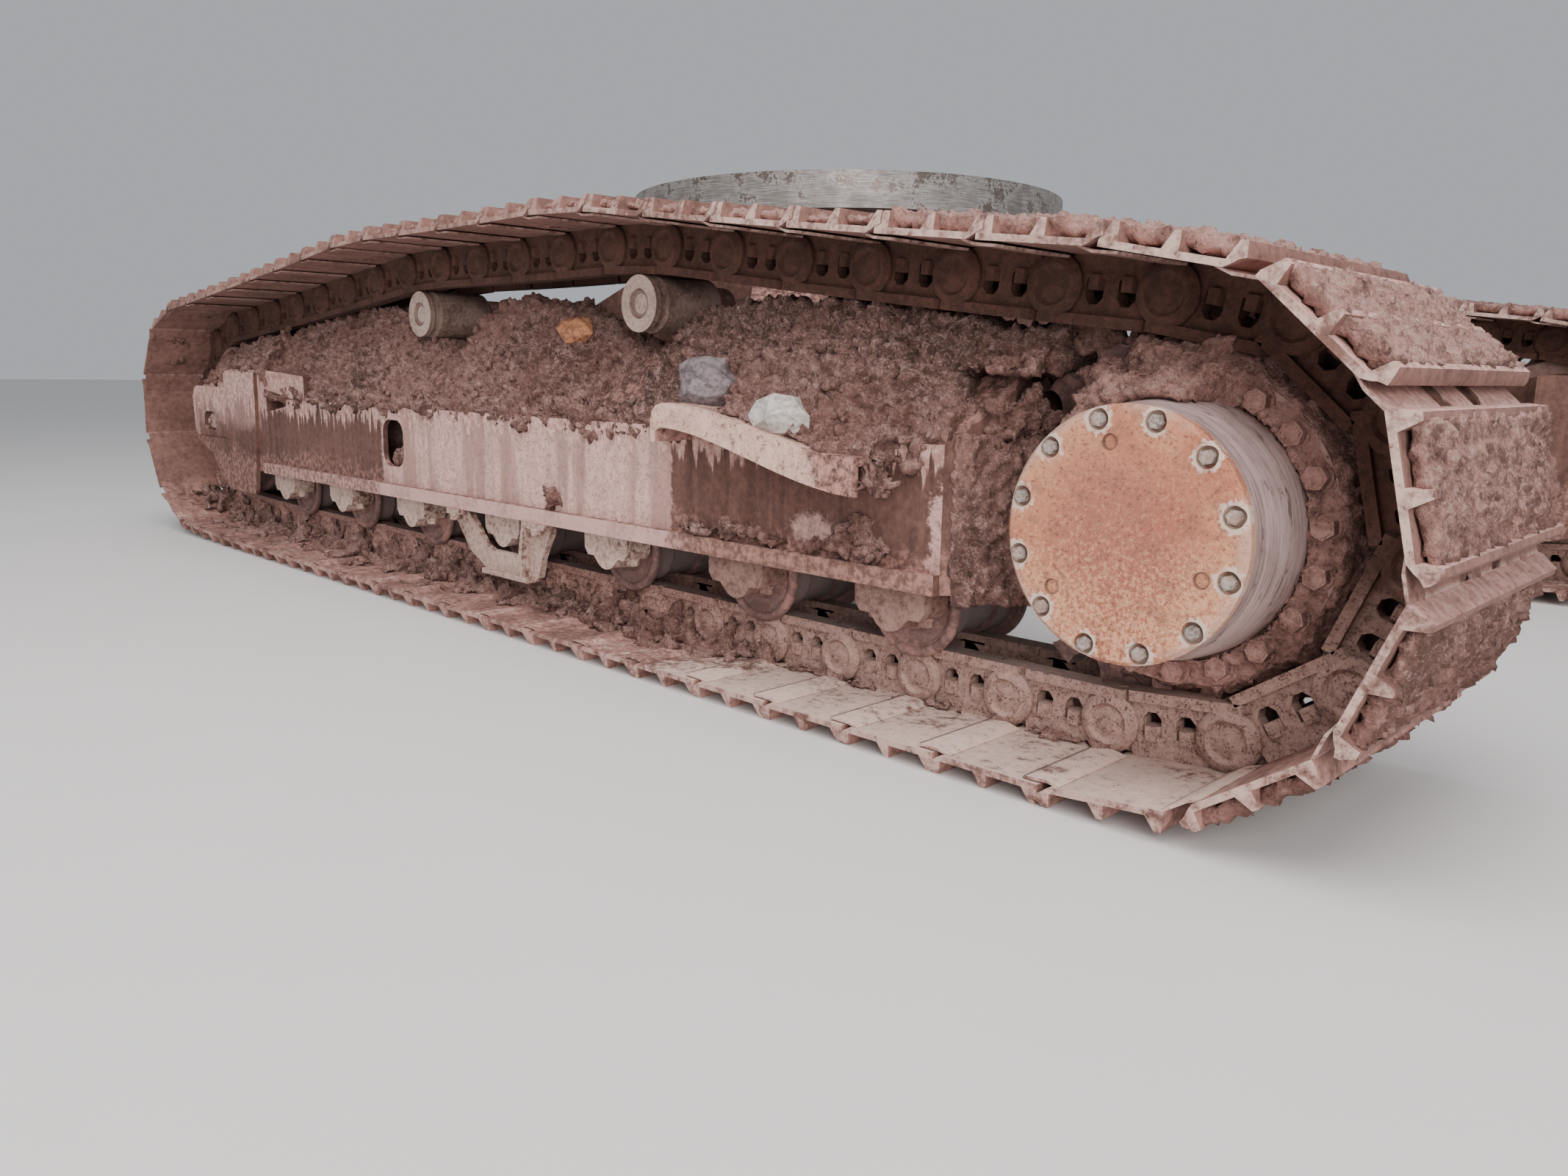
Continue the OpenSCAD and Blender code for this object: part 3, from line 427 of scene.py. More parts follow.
def cast_finish(steel, mud):
    """Rough castings: brown rust with dust on top and mud in the pits."""
    f = Finish("rusty_casting")
    patch = f.noise(9.0, 5.0)
    fine = f.noise(80.0, 6.0, 0.7)
    grit = f.noise(320.0, 3.0)
    colour = (patch * 0.5 + fine * 0.5).rise(0.38, 0.62).tint(steel.rust, CASTING_RUST)
    dusty = (patch * 0.6 + fine * 0.4 + f.side * 0.08 + f.up * 0.14).rise(0.50, 0.70)
    colour = dusty.tint(colour, CASTING_DUST)
    pit = (fine * 0.5 + grit * 0.5).rise(0.40, 0.32)
    colour = (pit * 0.7).tint(colour, mud.dark)
    return f.coat(colour, 0.88, fine * 0.5 + grit * 0.35 - pit * 0.4, 0.004)


def block_finish(steel, mud):
    """Collars and guards: pale dust over rust, browner and muddier towards the rear."""
    f = Finish("dusty_blocks")
    patch = f.noise(12.0, 5.0)
    fine = f.noise(85.0, 6.0, 0.7)
    grit = f.noise(320.0, 3.0)
    rust = (fine * 0.6 + patch * 0.4).rise(0.38, 0.62).tint(*BLOCK_RUST)
    dust = (fine * 0.5 + grit * 0.3 + patch * 0.2).rise(0.38, 0.60).tint(*BLOCK_DUST)
    pale = (f.x - DRIVE.x - 0.98 + (patch - 0.5) * 0.3).rise(-0.06, 0.06) * 0.80 + 0.08
    cover = (patch * 0.4 + fine * 0.6 + f.side * 0.10).rise(0.40, 0.56)
    colour = (pale * cover * (1.0 - 0.3 * (f.out - 0.180).rise(0.0, 0.004))).tint(rust, dust)
    pit = (fine * 0.5 + grit * 0.5).rise(0.41, 0.34)
    colour = (pit * 0.6).tint(colour, mud.dark)
    return f.coat(colour, 0.9, fine * 0.5 + grit * 0.35 - pit * 0.4, 0.003)


def step_finish(steel, mud):
    """Pale pitted rim, with painted shade underneath, thick with mud at its rear end."""
    f = Finish("step_plate")
    patch = f.noise(13.0, 5.0)
    fine = f.noise(70.0, 6.0, 0.72)
    grit = f.noise(300.0, 3.0)
    dust = (fine * 0.5 + grit * 0.25 + patch * 0.25).rise(0.36, 0.60).tint(*STEP_DUST)
    soil = fine.rise(0.38, 0.62).tint(mud.dark, mud.mid)
    rear = (DRIVE.x + 0.585 - f.x + (patch - 0.5) * 0.16).rise(0.0, 0.05)
    # Painted shade: faces that look down take the dark mud colour
    under = (0.25 - f.up).rise(0.0, 0.3) * (1 - f.side)
    inside = (0.078 - (f.out - FRAME_OUT)).rise(0.0, 0.01)
    colour = rear.most(under).most(inside * 0.6).tint(dust, soil)
    pit = (fine * 0.6 + grit * 0.4).rise(0.43, 0.38)
    colour = (pit * 0.75).tint(colour, STEP_PIT)
    return f.coat(colour, 0.9, fine * 0.6 + grit * 0.3 - pit * 0.5, 0.005)


def drive_finish(steel, mud):
    """The gear drum is scoured grey outside its flange, and mud sticks to the rest."""
    f = Finish("gear_drum")
    fine = f.noise(70.0, 6.0, 0.7)
    patch = f.noise(8.0, 5.0)
    scratch = f.noise(1.0, 6.0, 0.75, (5.0, 160.0, 5.0))
    blot = f.noise(1.0, 4.0, 0.7, (16.0, 60.0, 16.0))
    bare = (f.out + (patch - 0.5) * 0.05).rise(0.115, 0.145)
    grey = (scratch * 0.6 + patch * 0.4).rise(0.36, 0.60).tint(*SCOURED_DRUM)
    grey = (blot.rise(0.58, 0.66) * 0.75).tint(grey, DRUM_BLOT)
    soil = (fine * 0.5 + patch * 0.5).rise(0.38, 0.62).tint(mud.dark, DRUM_SOIL)
    colour = bare.tint(soil, grey)
    return f.coat(colour, 0.80 - 0.22 * bare, fine * 0.5 + scratch * 0.25 * bare, 0.004)


def cover_finish(steel, mud):
    """Orange rust: redder in its middle, speckled pale below, grey near its rim, pale round the bolts."""
    f = Finish("orange_cover")
    speck = f.noise(150.0, 3.0, 0.75)
    fine = f.noise(420.0, 2.0)
    patch = f.noise(6.5, 4.0, 0.55)
    far = f.radius(DRIVE)
    orange = patch.rise(0.36, 0.62).tint(COVER_DEEP, steel.orange)
    red = (0.15 - far + (patch - 0.5) * 0.20).rise(0.0, 0.10)
    colour = (red * 0.85).tint(orange, COVER_MIDDLE)
    low = (DRIVE.y - 0.01 - f.z + (patch - 0.5) * 0.24).rise(-0.06, 0.12)
    pale = (speck * 0.7 + fine * 0.3 + low * 0.06).rise(0.535, 0.60)
    colour = (pale * (0.35 + 0.45 * low)).tint(colour, COVER_SPECKLE)
    mottle = f.noise(34.0, 6.0, 0.72).rise(0.50, 0.62)
    colour = (mottle * 0.50).tint(colour, COVER_MOTTLE)
    dark = (speck * 0.6 + fine * 0.4).rise(0.45, 0.39)
    colour = (dark * 0.75).tint(colour, COVER_PIT)
    rim = (far + (patch - 0.5) * 0.03).rise(0.160, 0.178) * patch.rise(0.42, 0.56)
    colour = (rim * 0.40).tint(colour, COVER_RIM)

    # Rims of the bolts and plugs, and painted shade in their recesses, by the distance from the nearest one's
    # middle
    angle = f.root.sum("ARCTAN2", f.z - DRIVE.y, f.x - DRIVE.x)
    aside = f.root.sum("PINGPONG", angle - COVER_BOLT_PHASE, math.pi / COVER_BOLTS) * COVER_BOLT_R
    near = (aside ** 2 + abs(far - COVER_BOLT_R) ** 2) ** 0.5
    chipped = (0.0225 - near + (speck - 0.5) * 0.03).rise(0.0, 0.004) * f.noise(24.0, 2.0).rise(0.36, 0.50)
    colour = (chipped * 0.8).tint(colour, BOLT_RIM)
    # Painted shade: a dark ring in each bolt's counterbore and round each plug
    recess_shade = (0.0150 - near).rise(0.0, 0.001)
    aside = f.root.sum("PINGPONG", angle - PLUG_PHASE, math.pi / COVER_PLUGS) * PLUG_R
    plug = (aside ** 2 + abs(far - PLUG_R) ** 2) ** 0.5
    recess_shade = recess_shade.most((plug - 0.0090).rise(0.0, 0.0012) * (0.0125 - plug).rise(0.0, 0.0012))
    colour = (recess_shade * 0.75).tint(colour, BOLT_RECESS_SHADE)
    return f.coat(colour, 0.84, speck * 0.6 + fine * 0.3, 0.0018)


def wheel_finish(steel, mud):
    """Rust and mud on the bodies, purple brown worn steel on treads and flanges."""
    f = Finish("worn_wheel")
    patch = f.noise(11.0, 5.0)
    fine = f.noise(90.0, 6.0, 0.7)
    colour = (patch * 0.5 + fine * 0.5).rise(0.36, 0.62).tint(*WHEEL_RUST)
    tread = (0.6 - f.side).rise(0.0, 0.3) * (0.104 - f.out).rise(0.0, 0.004) * f.z.rise(0.60, 0.62).most(
        (0.52 - f.z).rise(0.0, 0.02))
    colour = (tread * 0.6).tint(colour, shade(steel.worn, 0.7))
    soil = (patch * 0.6 + fine * 0.4).rise(0.50, 0.58) * (1 - tread * 0.8)
    colour = (soil * 0.6).tint(colour, shade(mud.mid, 0.8))
    return f.coat(colour, 0.62 + 0.3 * soil, fine * 0.6 + patch * 0.2, 0.003)


def carrier_finish(steel, mud):
    """Pale worn end discs with a ring, and darker treads."""
    f = Finish("carrier_wheel")
    patch = f.noise(14.0, 5.0)
    fine = f.noise(110.0, 6.0, 0.7)
    colour = (patch * 0.5 + fine * 0.5).rise(0.36, 0.62).tint(*CARRIER_RUST)
    face = f.side.rise(0.75, 0.9) * f.out.rise(0.085, 0.092)
    far = f.radius((CARRIERS[0], CARRIER_Z)).least(f.radius((CARRIERS[1], CARRIER_Z)))
    bright = (patch * 0.4 + fine * 0.6).rise(0.34, 0.60).tint(*CARRIER_FACE)
    colour = face.tint(colour, bright)
    ring = (0.006 - abs(far - 0.027)).rise(0.0, 0.003) * face
    colour = (ring * 0.7).tint(colour, CARRIER_GROOVE)
    return f.coat(colour, 0.72, fine * 0.6 - ring * 0.6, 0.004)


def chain_finish(steel, mud):
    """Tan dust on the lower run, muddier towards the front, and dark red brown on the upper one, which is
    partly its rust and partly painted shade.
    """
    f = Finish("track_links")
    patch = f.noise(10.0, 5.0)
    fine = f.noise(75.0, 7.0, 0.72)
    grit = f.noise(300.0, 3.0)
    dark = (fine * 0.6 + patch * 0.4).rise(0.38, 0.62).tint(
        shade(steel.rust, 0.42), shade(steel.rust, 0.85))
    tan = (fine * 0.5 + grit * 0.2 + f.up * 0.1 + 0.1).rise(0.30, 0.58).tint(*CHAIN_DUST)
    # The links above the ground keep the dark rust colour: partly rust, partly painted shade of the machine's
    # upper structure, which is not built here
    low = (0.42 - f.z + (patch - 0.5) * 0.25).rise(0.0, 0.22)
    muddy = (f.x + 1.0 + (patch - 0.5) * 0.5).rise(-0.1, 0.3) * 0.75
    tan = muddy.tint(tan, (fine * 0.6 + grit * 0.4).rise(0.38, 0.62).tint(mud.dark, mud.mid))
    colour = (low * 0.95).tint(dark, tan)
    spot = (fine * 0.5 + grit * 0.5).rise(0.415, 0.365)
    colour = (spot * 0.8).tint(colour, mud.dark)
    rail = f.up.rise(0.9, 0.97) * (f.z - 0.13).rise(0.0, 0.006) * (0.15 - f.z).rise(0.0, 0.004)
    colour = (rail * 0.45).tint(colour, shade(steel.worn, 0.4))
    return f.coat(colour, 0.90, fine * 0.6 + grit * 0.3 - spot * 0.3, 0.004)


def shoe_finish(steel, mud):
    """Pale dust on the inner faces near the ground, less of it towards the front, brown mud above, painted
    shade on the shoes above the ground that do not look up, and a painted shadow line where each shoe laps
    over the next.
    """
    f = Finish("track_shoe_plates")
    patch = f.noise(9.0, 5.0)
    fine = f.noise(60.0, 7.0, 0.7)
    grit = f.noise(260.0, 3.0)
    soil = (fine * 0.6 + patch * 0.4).rise(0.36, 0.64).tint(mud.dark, mud.mid)
    bright = (fine * 0.5 + grit * 0.3 + patch * 0.3).rise(0.36, 0.66).tint(
        shade(steel.plate, 0.74), shade(steel.plate, 1.15))
    inner = f.up.rise(0.55, 0.9) * (0.10 - f.z).rise(0.0, 0.02)
    further = (f.x + 0.85).rise(-0.2, 0.2)
    bare = (patch * 0.5 + fine * 0.5 + (f.out - 0.15) * 0.4 - further * 0.22).rise(0.36, 0.50)
    colour = (inner * bare).tint(soil, bright)
    top = f.up.rise(0.5, 0.8) * (f.z - 0.3).rise(0.0, 0.1)
    colour = (top * 0.8).tint(colour, (fine * 0.7 + grit * 0.3).rise(0.4, 0.62).tint(mud.mid, mud.pale))
    # Painted shade: the shoes above the ground, but for their faces that look up, go dark
    colour = ((f.z - 0.14).rise(0.0, 0.05) * (1 - top) * 0.6).tint(colour, mud.dark)
    worn = f.root.node("ShaderNodeAttribute", {"attribute_name": "worn_edge"}, out="Fac")
    # Painted shadow: a dark line where each shoe's tongue laps over the next on the ground; the same
    # attribute also gives the worn pale tongue end
    lap_shadow = worn.rise(0.80, 0.88) * (0.12 - f.z).rise(0.0, 0.02)
    colour = (lap_shadow * 0.8).tint(colour, shade(mud.dark, 0.4))
    edge = f.side.rise(0.8, 0.95).most(worn.rise(0.72, 0.95) * (1 - lap_shadow))
    edge = edge * (patch * 0.5 + fine * 0.5).rise(0.42, 0.58)
    front = (f.x + 0.7 + (patch - 0.5) * 0.4).rise(-0.1, 0.3) * 0.6
    colour = (edge * 0.75 * (1 - front)).tint(colour, SHOE_EDGE)
    spot = (fine * 0.45 + grit * 0.55).rise(0.40, 0.34)
    colour = (spot * 0.65).tint(colour, mud.dark)
    return f.coat(colour, 0.92, fine * 0.6 + grit * 0.3 - spot * 0.3, 0.0035)


def ring_finish(steel, mud):
    """Turned steel with dark grease and dust on top."""
    f = Finish("greasy_ring")
    patch = f.noise(12.0, 5.0)
    fine = f.noise(140.0, 4.0)
    turned = f.noise(1.0, 3.0, 0.5, (20.0, 20.0, 420.0))
    metal = (patch * 0.6 + turned * 0.4).rise(0.36, 0.62).tint(*RING_METAL)
    grease = (patch * 0.7 + fine * 0.3).rise(0.50, 0.58)
    colour = (grease * 0.8).tint(metal, GREASE)
    dust = f.up.rise(0.5, 0.9) * (patch * 0.4 + fine * 0.6).rise(0.50, 0.66)
    colour = (dust * 0.6).tint(colour, shade(steel.dust, 0.75))
    return f.coat(colour, 0.55 - 0.2 * grease + 0.3 * dust, turned * 0.4 + fine * 0.3, 0.0012, 0.55)


def bolt_finish(steel, mud):
    """Grey bolt heads with some rust on them."""
    f = Finish("grey_bolts")
    fine = f.noise(160.0, 5.0, 0.7)
    patch = f.noise(24.0, 4.0)
    colour = (patch * 0.4 + fine * 0.6).rise(0.34, 0.60).tint(*BOLT_METAL)
    rust = patch.rise(0.50, 0.60)
    colour = (rust * 0.6).tint(colour, BOLT_RUST)
    return f.coat(colour, 0.70, fine * 0.7, 0.002, 0.2)


def stone_finish(name, pale, deep):
    """A stone in its own light and dark colour."""
    f = Finish(name)
    fine = f.noise(90.0, 7.0, 0.7)
    patch = f.noise(26.0, 4.0, 0.6, (1.0, 1.0, 2.4))
    colour = (fine * 0.5 + patch * 0.5).rise(0.38, 0.60).tint(deep, pale)
    return f.coat(colour, 0.85, fine * 0.7 + patch * 0.3, 0.006)


# Shapes


class Shape:
    """Closed shells in one mesh. Outlines are in X and Z, and depth is along Y."""

    def __init__(self):
        self.bm = bmesh.new()

    def prism(self, outline, y0, y1, holes=(), lift=None):
        """A plate with holes. Lift, where given, turns (x, y, z) into another place."""
        rings = [list(outline), *[list(h) for h in holes]]
        made = []
        for y in (y0, y1):
            layer = []
            for ring in rings:
                for x, z in ring:
                    layer.append(self.bm.verts.new(lift(x, y, z) if lift else (x, y, z)))
            made.append(layer)
        first = 0
        for ring in rings:
            for i in range(len(ring)):
                j = (i + 1) % len(ring)
                near, far = ((layer[first + i], layer[first + j]) for layer in made)
                self.bm.faces.new([*near, *reversed(far)])
            first += len(ring)
        for layer in made:
            if holes:
                for corners in tessellate_polygon([[Vector((x, z, 0)) for x, z in ring] for ring in rings]):
                    self.bm.faces.new([layer[i] for i in corners])
            else:
                self.bm.faces.new(layer)

    def turned(self, profile, centre=(0.0, 0.0), steps=24, wobble=None):
        """Turns a closed profile of (radius, y) about an axis along Y."""
        rings = []
        for r, y in profile:
            if r < 1e-6:
                rings.append([self.bm.verts.new((centre[0], y, centre[1]))] * steps)
                continue
            ring = []
            for k in range(steps):
                a = 2 * math.pi * k / steps
                reach = r + (wobble(a, r, y) if wobble else 0.0)
                x, z = centre[0] + reach * math.cos(a), centre[1] + reach * math.sin(a)
                ring.append(self.bm.verts.new((x, y, z)))
            rings.append(ring)
        count = len(rings)
        closed = profile[0][0] > 1e-6 and profile[-1][0] > 1e-6
        for i in range(count if closed else count - 1):
            j = (i + 1) % count
            for k in range(steps):
                m = (k + 1) % steps
                corners = [rings[i][k], rings[i][m], rings[j][m], rings[j][k]]
                corners = [c for n, c in enumerate(corners) if c not in corners[:n]]
                if len(corners) > 2:
                    self.bm.faces.new(corners)

    def lump(self, centre, size, random_source, rough=0.18, detail=2):
        """An uneven ball."""
        made = bmesh.ops.create_icosphere(self.bm, subdivisions=detail, radius=1.0)["verts"]
        turn = Euler([random_source.uniform(0, RANDOM_TURN) for _ in range(3)]).to_matrix()
        for v in made:
            v.co = turn @ (v.co * (1 + random_source.uniform(-rough, rough)))
            v.co = Vector(centre) + Vector([a * b for a, b in zip(v.co, size)])

    def mesh(self, name, sharp=35.0):
        """Ends the shape: faces outwards, smooth but for its sharp edges."""
        bmesh.ops.recalc_face_normals(self.bm, faces=self.bm.faces)
        made = bpy.data.meshes.new(name)
        self.bm.to_mesh(made)
        self.bm.free()
        made.shade_smooth()
        made.set_sharp_from_angle(angle=math.radians(sharp))
        return made


def flat(x, y, z):
    """Lays a plate flat, with its outline in X and Y and its depth along Z."""
    return x, z, y


def ring_of(count, radius, centre=(0.0, 0.0), phase=0.0):
    """Corners of a regular outline."""
    return [(centre[0] + radius * math.cos(phase + 2 * math.pi * i / count),
             centre[1] + radius * math.sin(phase + 2 * math.pi * i / count)) for i in range(count)]


def join(meshes):
    """One mesh of several."""
    bm = bmesh.new()
    for part in meshes:
        bm.from_mesh(part)
    made = bpy.data.meshes.new("joined")
    bm.to_mesh(made)
    bm.free()
    return made


def mirror(mesh):
    """Turns a mesh into its mirror image across Y, with its faces outwards."""
    mesh.transform(Matrix.Diagonal((1, -1, 1, 1)))
    mesh.flip_normals()


def place_piece(name, mesh, material, side=1, track=True):
    """Makes a finished piece. A track's mesh is drawn about Y = 0, with its outside at +Y."""
    if track:
        if side < 0:
            mirror(mesh)
        mesh.transform(Matrix.Translation((0, side * TRACK_Y, 0)))
    mesh.name = name
    mesh.materials.clear()
    mesh.materials.append(material)
    made = bpy.data.objects.new(name, mesh)
    bpy.context.scene.collection.objects.link(made)
    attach(made, FIXED)
    return made


# Geometry node trees


def start_tree(name, sockets):
    """A geometry node tree with named inputs. Returns the tree and a Wire for each input."""
    tree = bpy.data.node_groups.new(name, "GeometryNodeTree")
    tree.interface.new_socket(name="Geometry", in_out="INPUT", socket_type="NodeSocketGeometry")
    for label, kind in sockets.items():
        tree.interface.new_socket(name=label, in_out="INPUT", socket_type="NodeSocket" + kind)
    tree.interface.new_socket(name="Geometry", in_out="OUTPUT", socket_type="NodeSocketGeometry")
    entry = Wire(tree).node("NodeGroupInput")
    return tree, {label: entry.other(label) for label in ["Geometry", *sockets]}


def end_tree(root, geometry, material):
    """Ends a tree in Realize Instances, Set Material and its output."""
    solid = root.node("GeometryNodeRealizeInstances", None, {"Geometry": geometry})
    coated = root.node("GeometryNodeSetMaterial", None, {"Geometry": solid, "Material": material})
    root.node("NodeGroupOutput", None, {"Geometry": coated})


def shape_input(root, shape):
    """The geometry of the object that an input lends."""
    return root.node("GeometryNodeObjectInfo", None, {"Object": shape}, "Geometry")


def run_tree():
    """Sets a shape on each point of a run, turned by the point's own angle."""
    tree, given = start_tree("parts_along_chain", {"Shape": "Object", "Material": "Material"})
    root = Wire(tree)
    angle = root.node("GeometryNodeInputNamedAttribute", {"data_type": "FLOAT"}, {"Name": "turn"})
    euler = root.node("ShaderNodeCombineXYZ", None, {"Y": angle})
    rotation = root.node("FunctionNodeEulerToRotation", None, {"Euler": euler})
    placed = root.node("GeometryNodeInstanceOnPoints", None, {
        "Points": given["Geometry"], "Instance": shape_input(root, given["Shape"]), "Rotation": rotation})
    end_tree(root, placed, given["Material"])
    return tree


def circle_tree():
    """Sets a shape on a circle that is square to an axis along Y or Z."""
    tree, given = start_tree("parts_on_circle", {
        "Shape": "Object", "Count": "Int", "Radius": "Float", "Phase": "Float", "Centre": "Vector",
        "Tilt": "Vector", "Material": "Material"})
    root = Wire(tree)
    circle = root.node("GeometryNodeMeshCircle", None, {
        "Vertices": given["Count"], "Radius": given["Radius"]})
    spin = root.node("FunctionNodeRandomValue", {"data_type": "FLOAT"}, {
        2: 0.0, 3: RANDOM_TURN, "Seed": 5}, 1)
    turn = root.node("FunctionNodeEulerToRotation", None, {
        "Euler": root.node("ShaderNodeCombineXYZ", None, {"Z": spin})})
    placed = root.node("GeometryNodeInstanceOnPoints", None, {
        "Points": circle, "Instance": shape_input(root, given["Shape"]), "Rotation": turn})
    phase = root.node("FunctionNodeEulerToRotation", None, {
        "Euler": root.node("ShaderNodeCombineXYZ", None, {"Z": given["Phase"]})})
    turned = root.node("GeometryNodeTransform", None, {"Geometry": placed, "Rotation": phase})
    tilt = root.node("FunctionNodeEulerToRotation", None, {"Euler": given["Tilt"]})
    set_up = root.node("GeometryNodeTransform", None, {
        "Geometry": turned, "Translation": given["Centre"], "Rotation": tilt})
    end_tree(root, set_up, given["Material"])
    return tree


def mud_tree():
    """Melts overlapping lumps into one skin, roughens it into clods and strews crumbs on it."""
    tree, given = start_tree("dried_mud_skin", {
        "Voxel": "Float", "Swell": "Float", "Swell Scale": "Float", "Clods": "Float", "Clod Scale": "Float",
        "Crumb": "Object", "Crumb Size": "Float", "Crumbs": "Float", "Seed": "Int", "Material": "Material"})
    root = Wire(tree)
    volume = root.node("GeometryNodeMeshToVolume", {"resolution_mode": "VOXEL_SIZE"}, {
        "Mesh": given["Geometry"], "Voxel Size": given["Voxel"], "Interior Band Width": 0.03})
    skin = root.node("GeometryNodeVolumeToMesh", {"resolution_mode": "VOXEL_SIZE"}, {
        "Volume": volume, "Voxel Size": given["Voxel"], "Threshold": 0.1})
    normal = root.node("GeometryNodeInputNormal")

    def cloud(scale, detail, rough):
        return root.node("ShaderNodeTexNoise", {"noise_dimensions": "4D"}, {
            "W": given["Seed"], "Scale": scale, "Detail": detail, "Roughness": rough}, "Fac") - 0.5

    # Broad swells, and clods with round tops and sharp creases between them
    height = cloud(given["Swell Scale"], 2.0, 0.5) * given["Swell"]
    clods = root.sum("MINIMUM", abs(cloud(given["Clod Scale"], 5.0, 0.72)) * 8.0 - 0.6, 0.5)
    height = height + clods * given["Clods"]
    offset = root.node("ShaderNodeVectorMath", {"operation": "SCALE"}, {0: normal, "Scale": height})
    rough = root.node("GeometryNodeSetPosition", None, {"Geometry": skin, "Offset": offset})
    # The sides that lie on steel or look down and inwards get fewer points and no crumbs
    facing = root.node("ShaderNodeVectorMath", {"operation": "DOT_PRODUCT"}, {
        0: normal, 1: (-0.5, 0.7, 1.0)}, "Value")
    rough = root.node("GeometryNodeMergeByDistance", {"mode": "ALL"}, {
        "Geometry": rough, "Selection": root.sum("LESS_THAN", facing, -0.45), "Distance": 0.022})
    spots = root.node("GeometryNodeDistributePointsOnFaces", None, {
        "Mesh": rough, "Selection": root.sum("GREATER_THAN", facing, -0.2), "Density": given["Crumbs"],
        "Seed": given["Seed"]})
    spin = root.node("FunctionNodeRandomValue", {"data_type": "FLOAT_VECTOR"}, {
        0: (0.0, 0.0, 0.0), 1: (RANDOM_TURN,) * 3, "Seed": given["Seed"]})
    share = root.node("FunctionNodeRandomValue", {"data_type": "FLOAT"}, {2: 0.0, 3: 1.0, "Seed": 11}, 1)
    size = given["Crumb Size"] * (0.35 + share ** 6 * 2.0)
    squat = root.node("ShaderNodeCombineXYZ", None, {"X": size, "Y": size * 0.8, "Z": size * 0.65})
    crumbs = root.node("GeometryNodeInstanceOnPoints", None, {
        "Points": spots, "Instance": shape_input(root, given["Crumb"]),
        "Rotation": root.node("FunctionNodeEulerToRotation", None, {"Euler": spin}), "Scale": squat})
    smooth = root.node("GeometryNodeSetShadeSmooth", None, {"Geometry": rough})
    joined = root.node("GeometryNodeJoinGeometry", None, {"Geometry": [smooth, crumbs]})
    end_tree(root, joined, given["Material"])
    return tree


def grow(tree, base, values):
    """The plain mesh that a geometry node tree makes of a base mesh."""
    carrier = bpy.data.objects.new("carrier", base)
    bpy.context.scene.collection.objects.link(carrier)
    modifier = carrier.modifiers.new("grow", "NODES")
    modifier.node_group = tree
    sockets = {item.name: item.identifier for item in tree.interface.items_tree if item.in_out == "INPUT"}
    for label, value in values.items():
        modifier[sockets[label]] = value
    graph = bpy.context.evaluated_depsgraph_get()
    made = bpy.data.meshes.new_from_object(carrier.evaluated_get(graph), depsgraph=graph)
    carrier.modifiers.remove(modifier)
    bpy.data.objects.remove(carrier)
    return made


def tool(mesh):
    """An object that only lends its shape to a tree."""
    return bpy.data.objects.new("tool_" + mesh.name, mesh)


# The chain's route, by the rule of the part's source


def polar(r, a):
    """The point at a radius and an angle."""
    return Vector((r * math.cos(a), r * math.sin(a)))


def tangent_angle(place, centre, r, side):
    """Where on a circle the line from a place touches it, on one side or the other."""
    away = place - centre
    return math.atan2(away.y, away.x) + side * math.acos(r / away.length)


def pin_places(sizes):
    """The pins of one track, seen from the side as (x, z). The first stands behind the lowest tooth."""
    pitch = sizes.link_pitch
    drive_r = pitch / (2 * math.sin(2 * math.pi / SPROCKET_TEETH))
    idler_r = math.hypot(IDLER_TREAD_R + sizes.rail_height + SEAT_GAP, pitch / 2)
    pin_z = sizes.bar_height + sizes.shoe_depth
    drive = Vector((DRIVE.x, pin_z + drive_r))
    idler = Vector((-DRIVE.x, pin_z + idler_r + IDLER_LIFT))
    top = CARRIER_Z + CARRIER_TREAD_R + sizes.rail_height + CARRIER_GAP
    rear, front = (Vector((x, top)) for x in CARRIERS)
    ground_end = Vector((ROLLERS[-1] + pitch, pin_z))
    idler_low = tangent_angle(ground_end, idler, idler_r, 1) % (2 * math.pi) - 2 * math.pi
    idler_high = tangent_angle(front, idler, idler_r, -1)
    drive_high = tangent_angle(rear, drive, drive_r, 1)
    down = 1.5 * math.pi

    def link_radius(r):
        """The radius that gives a stretch round a wheel its length in links."""
        return pitch / (2 * math.asin(pitch / 2 / r))

    def line(a, b, sag=0.0):
        return (b - a).length, lambda t: a + (b - a) * t - Vector((0, 4 * sag * t * (1 - t)))

    def arc(c, r, a0, a1):
        length = link_radius(r) * (a1 - a0)
        return length, lambda t: c + polar(r, a0 + (a1 - a0) * t)

    stretches = [
        line(Vector((drive.x, pin_z)), ground_end),
        line(ground_end, idler + polar(idler_r, idler_low)),
        arc(idler, idler_r, idler_low, idler_high),
        line(idler + polar(idler_r, idler_high), front, sizes.top_sag),
        line(front, rear, sizes.top_sag),
        line(rear, drive + polar(drive_r, drive_high), sizes.top_sag),
        arc(drive, drive_r, drive_high, down),
    ]
    whole = sum(length for length, _ in stretches)

    def at(distance):
        for length, point in stretches:
            if distance <= length:
                return point(distance / length)
            distance -= length
        return stretches[-1][1](1.0)

    start = whole - link_radius(drive_r) * PIN_PHASE
    return [at((start + i * whole / sizes.shoe_count) % whole) for i in range(sizes.shoe_count)]


def along_run(tree, shape, places, turns, coat, across=(0.0,)):
    """A shape at each place of a run and at each distance across, as one plain mesh."""
    points = bpy.data.meshes.new("run")
    points.from_pydata([(p.x, y, p.y) for y in across for p in places], [], [])
    angles = points.attributes.new("turn", "FLOAT", "POINT")
    angles.data.foreach_set("value", [t for _ in across for t in turns])
    return grow(tree, points, {"Shape": shape, "Material": coat})


